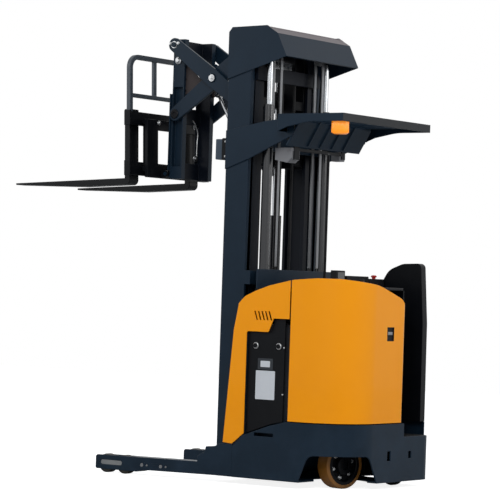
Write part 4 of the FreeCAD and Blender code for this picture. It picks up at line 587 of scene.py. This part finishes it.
# Scissor's guard plates: thin brown-grey sheets between the arms, bolted to the front frame's rails.
# Each is an outline with rounded edges; a pale cast boss stands on each rail above it.
LINER_INNER, LINER_THICK = 150, 6              # its inner face from the truck's middle, and its thickness
LINER_OUTLINE = [(560, 2815), (520, 2765), (399, 2650), (399, 2638), (505, 2588), (560, 2572)]
# Pressed fibre sheet: a dry, warm grey brown with no shine.
liner = sprayed("brown_grey_fibre_sheet", "332c2c", "403838", 0.6, peel_mm=2, peel=0.1, shine=0.3)
for side, mark in SIDES:
    out = (0, side, 0)
    shape = bmesh.new()
    thickened(shape, [place(x, side * LINER_INNER, z) for x, z in LINER_OUTLINE],
              Vector(out) * (LINER_THICK / 1000))
    settled(eased(shaped(f"arm_guard_plate_{mark}", shape), 2.0), liner, "front_frame", "black_paint")
    repeated(f"arm_guard_bolts_{mark}", bolt_head(13, out), black, "front_frame", "black_paint", 3,
             place(551, side * (LINER_INNER + LINER_THICK), 2600), step=(0, 0, 80))
    settled(eased(turned(f"rail_boss_{mark}", place(600, side * 176, 2805), out, [
        (0, 0), (0, 27), (8, 25), (13, 15), (20, 13), (20, 0)], 40), 1.2), zinc, "front_frame", "grey_steel")

# Reach pipe: a steel pipe with a bend inside the right rail, ending in a round swivel joint.
# The pipe is swept along a smooth path of its own; the swivel is turned.
BACK = (-1, 0, 0)
PIPE_RADIUS = 0.0045           # metres
PIPE_ROUTE = ((626, -42, 2412), (634, -108, 2350), (634, -110, 2250), (634, -110, 2172))
pipe_path = bpy.data.curves.new("pipe_path", "CURVE")
pipe_path.dimensions = "3D"
pipe_path.bevel_depth = PIPE_RADIUS
pipe_path.bevel_resolution = 4
pipe_path.use_fill_caps = True
run = pipe_path.splines.new("BEZIER")
run.bezier_points.add(len(PIPE_ROUTE) - 1)
for knot, point in zip(run.bezier_points, PIPE_ROUTE):
    knot.co = place(*point)
    knot.handle_left_type = knot.handle_right_type = "AUTO"
drawn = bpy.data.objects.new("reach_pipe", pipe_path)
bpy.context.scene.collection.objects.link(drawn)
bpy.context.view_layer.update()
pipe_mesh = bpy.data.meshes.new_from_object(drawn.evaluated_get(bpy.context.evaluated_depsgraph_get()))
bpy.data.objects.remove(drawn)
bpy.data.curves.remove(pipe_path)
for face in pipe_mesh.polygons:
    face.use_smooth = True
pipe = bpy.data.objects.new("reach_pipe", pipe_mesh)
bpy.context.scene.collection.objects.link(pipe)
settled(pipe, zinc, "front_frame", "grey_steel")
settled(eased(turned("reach_pipe_swivel", place(643.5, -106, 2155), BACK, [
    (0, 0), (0, 24), (7, 24), (10, 21), (10, 14), (15, 12), (15, 0)], 40), 1.0),
    machined, "front_frame", "grey_steel")

# Inner arms' lower ends and the tilt frame: dark turned caps on the arms' rollers, and two bright bolts.
# The caps ride with the inner arms, and the bolts lie on the tilt frame's back.
ROLLER_CAP_ACROSS, ROLLER_HEIGHT = 0.207, 2.439        # metres
for side, mark in SIDES:
    settled(eased(turned(f"arm_roller_cap_{mark}",
                         (front_pin.x, side * ROLLER_CAP_ACROSS, ROLLER_HEIGHT), (0, side, 0), [
        (0, 0), (0, 32), (5, 32), (8, 28), (8, 13), (4, 12), (4, 0)], 40), 1.0),
        black, "inner_arms", "black_paint")
repeated("tilt_frame_bolts", bolt_head(24, BACK), zinc, "tilt_frame", "grey_steel", 2,
         place(732, 202, 2380), step=(0, -404, 0))


# Carriage valve: a coated block on the carriage's left, with a black cover and two bolts.
# A plain bracket reaches back from it to the carriage plate.
def block(name, low, high, edge_mm, corner_mm):
    """A bevelled block between two corners given from the mast's face, with its upright edges rounded."""
    middle = place((low[0] + high[0]) / 2, high[1], (low[2] + high[2]) / 2)
    return flat_plate(name, middle, BACK, RISE, high[0] - low[0], high[2] - low[2], low[1] - high[1],
                      corner_mm, edge_mm)


# Sprayed slate blue: a lighter, greyer blue than the mast's, with a soft sheen.
slate = sprayed("slate_blue_coat", "33414f", "46525e", 0.4, shine=0.3)
settled(block("carriage_valve_bracket", (24, 130, 2168), (50, 300, 2212), 2, 2), black, "mast_carriage",
        "black_paint")
settled(block("carriage_valve_cover", (34, 262, 2116), (96, 340, 2262), 4, 8), black, "mast_carriage",
        "black_paint")
settled(block("carriage_valve_body", (96, 268, 2120), (150, 334, 2256), 4, 6), slate, "mast_carriage",
        "navy_paint")
repeated("carriage_valve_bolts", bolt_head(11, LEFT), zinc, "mast_carriage", "grey_steel", 2,
         place(65, 340, 2140), step=(0, 0, 98))

# Leg marks: a pale plate with round ends and four pale plugs, set into the outer face of each leg.
# They fill the shallow recesses that the leg's own shape has for them.
LEG_RECESS, LEG_MARKS_Z = 541, 71.5            # the recess's floor from the truck's middle, and the height
# Dull zinc plate: a flat pale grey against the navy.
recess = sprayed("pale_zinc_plate", "77797b", "8d8e8e", 0.45, peel_mm=1.5, peel=0.1, shine=0.4)
for side, mark in SIDES:
    settled(flat_plate(f"leg_side_plate_{mark}", place(778, side * LEG_RECESS, LEG_MARKS_Z), (-side, 0, 0),
                       RISE, 178, 30, 1.6, 14.5, 0.4), recess, "chassis", "grey_steel")
    for order, (x, radius) in enumerate(((520, 12), (478, 7), (362, 12), (320, 7))):
        settled(eased(turned(f"leg_plug_{mark}_{order + 1}", place(x, side * LEG_RECESS, LEG_MARKS_Z),
                             (0, side, 0), [
            (0, 0), (0, radius), (2.4, radius), (3, radius * 0.6), (1.6, radius * 0.45), (1.6, 0)], 32), 0.4),
            recess, "chassis", "grey_steel")

# Mast hoses and chains: ribs round each rubber hose, and the plates of the leaf chains over their straps.
# One rib or row of plates is modelled, and it is repeated up the mast.
HOSE_X, HOSE_FOOT, RIB_PITCH, RIBS = -188, 800, 12, 156
CHAINS_X, CHAIN_FOOT, CHAIN_PITCH, LINKS = (-300, -240), 1432, 19.05, 71
LINK_HALF_WIDTH, LINK_HALF_LENGTH, LINK_THICK, LINK_WAIST = 6.2, 13.5, 2.8, 0.28
for order, across in enumerate(HOSES_ACROSS):
    rib = turned("rib", (0, 0, 0), RISE, [(-3.4, 8.9), (-1.6, 10.6), (1.6, 10.6), (3.4, 8.9)], 14)
    repeated(f"hose_ribs_{order + 1}", rib, rubber, "mid_mast", "black_plastic", RIBS,
             place(HOSE_X, across, HOSE_FOOT), step=(0, 0, RIB_PITCH))
for x in CHAINS_X:
    for side, mark in SIDES:
        for row, rise, stack in (("a", 0, (-11, -3.7, 3.7, 11)), ("b", 9.5, (-7.4, 0, 7.4))):
            shape = bmesh.new()
            for middle in stack:
                outline = []
                for step in range(14):
                    bend = math.tau * step / 14
                    waist = 1 - LINK_WAIST * (1 - abs(math.sin(bend)))
                    outline.append(Vector((LINK_HALF_WIDTH * math.cos(bend) * waist, middle - LINK_THICK / 2,
                                           LINK_HALF_LENGTH * math.sin(bend))) / 1000)
                thickened(shape, outline, (0, LINK_THICK / 1000, 0))
            links = shaped("links", shape)
            for face in links.data.polygons:
                face.use_smooth = False
            repeated(f"leaf_chain_{-x}_{mark}_{row}", links, machined, "mid_mast", "grey_steel", LINKS,
                     place(x, side * CHAIN_ACROSS, CHAIN_FOOT + rise), step=(0, 0, CHAIN_PITCH))

# Console: a dark glass screen with soft keys, a mushroom stop knob and a ring of studs on the tiller's disc.
# The keys are one rounded cap repeated in a row under the screen.
CONSOLE_FACE = -696
KEYS, KEY_PITCH = 5, 14
STUDS, STUD_CIRCLE = 6, 78
# Tinted glass: black, and the only mirror-like surface of the console.
glass = sprayed("dark_screen_glass", "0b1016", "0f151c", 0.08, peel=0.0, coat=0.6)
# Moulded silicone keys: flat mid grey.
keys = sprayed("grey_rubber_keys", "5b5e62", "6b6e71", 0.6, peel_mm=1, peel=0.1, shine=0.3)
# Moulded red plastic: the one bright spot on the console.
stop_red = sprayed("stop_red_plastic", "b3150f", "8f1410", 0.35, shine=0.4)
settled(flat_plate("console_screen", place(CONSOLE_FACE, 55, 1372), (0, -1, 0), RISE, 78, 50, 1.6, 4, 0.4),
        glass, "chassis", "black_plastic")
key = turned("key", (0, 0, 0), BACK, [(0, 0), (0, 5), (2, 5), (3, 3.5), (3, 0)], 20)
repeated("console_keys", key, keys, "chassis", "black_plastic", KEYS, place(CONSOLE_FACE, 27, 1336),
         step=(0, KEY_PITCH, 0))
settled(eased(turned("stop_knob", place(-670, -386, 1362), RISE, [
    (0, 0), (0, 12), (9, 12), (12, 19), (18, 20), (24, 14), (25.5, 0)], 40), 0.8),
    stop_red, "chassis", "black_plastic")
stud = turned("stud", (0, 0, 0), RISE, [(0, 0), (0, 3.6), (1.4, 3.2), (2.2, 0)], 16)
repeated("tiller_studs", stud, zinc, "chassis", "grey_steel", STUDS, place(-852, 145, 1330),
         start=(STUD_CIRCLE, 0, 0), angle=math.tau / STUDS)

# Operator's floor: a black rubber mat with raised ribs, laid inside the tray.
# The mat is a thin bevelled sheet, and one rib is repeated across it.
AHEAD, RIGHT = (1, 0, 0), (0, -1, 0)
RIB_COUNT, MAT_RIB_PITCH = 16, 16
MAT_Y = -0.338                 # metres from the truck's middle to the mat's
floor_low, floor_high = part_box("operator_floor")
mat_x = (floor_low.x + floor_high.x) / 2
settled(flat_plate("floor_mat", (mat_x, MAT_Y, floor_high.z), RIGHT, AHEAD, 270, 396, 2.2, 12, 0.4),
        rubber, "chassis", "floor_rubber")
mat_rib = flat_plate("mat_rib", (0, 0, 0), RIGHT, AHEAD, 7, 372, 2.4, 3.4, 0.4)
repeated("floor_mat_ribs", mat_rib, rubber, "chassis", "floor_rubber", RIB_COUNT,
         (mat_x, MAT_Y - 0.12, floor_high.z + 0.002), step=(0, MAT_RIB_PITCH, 0))
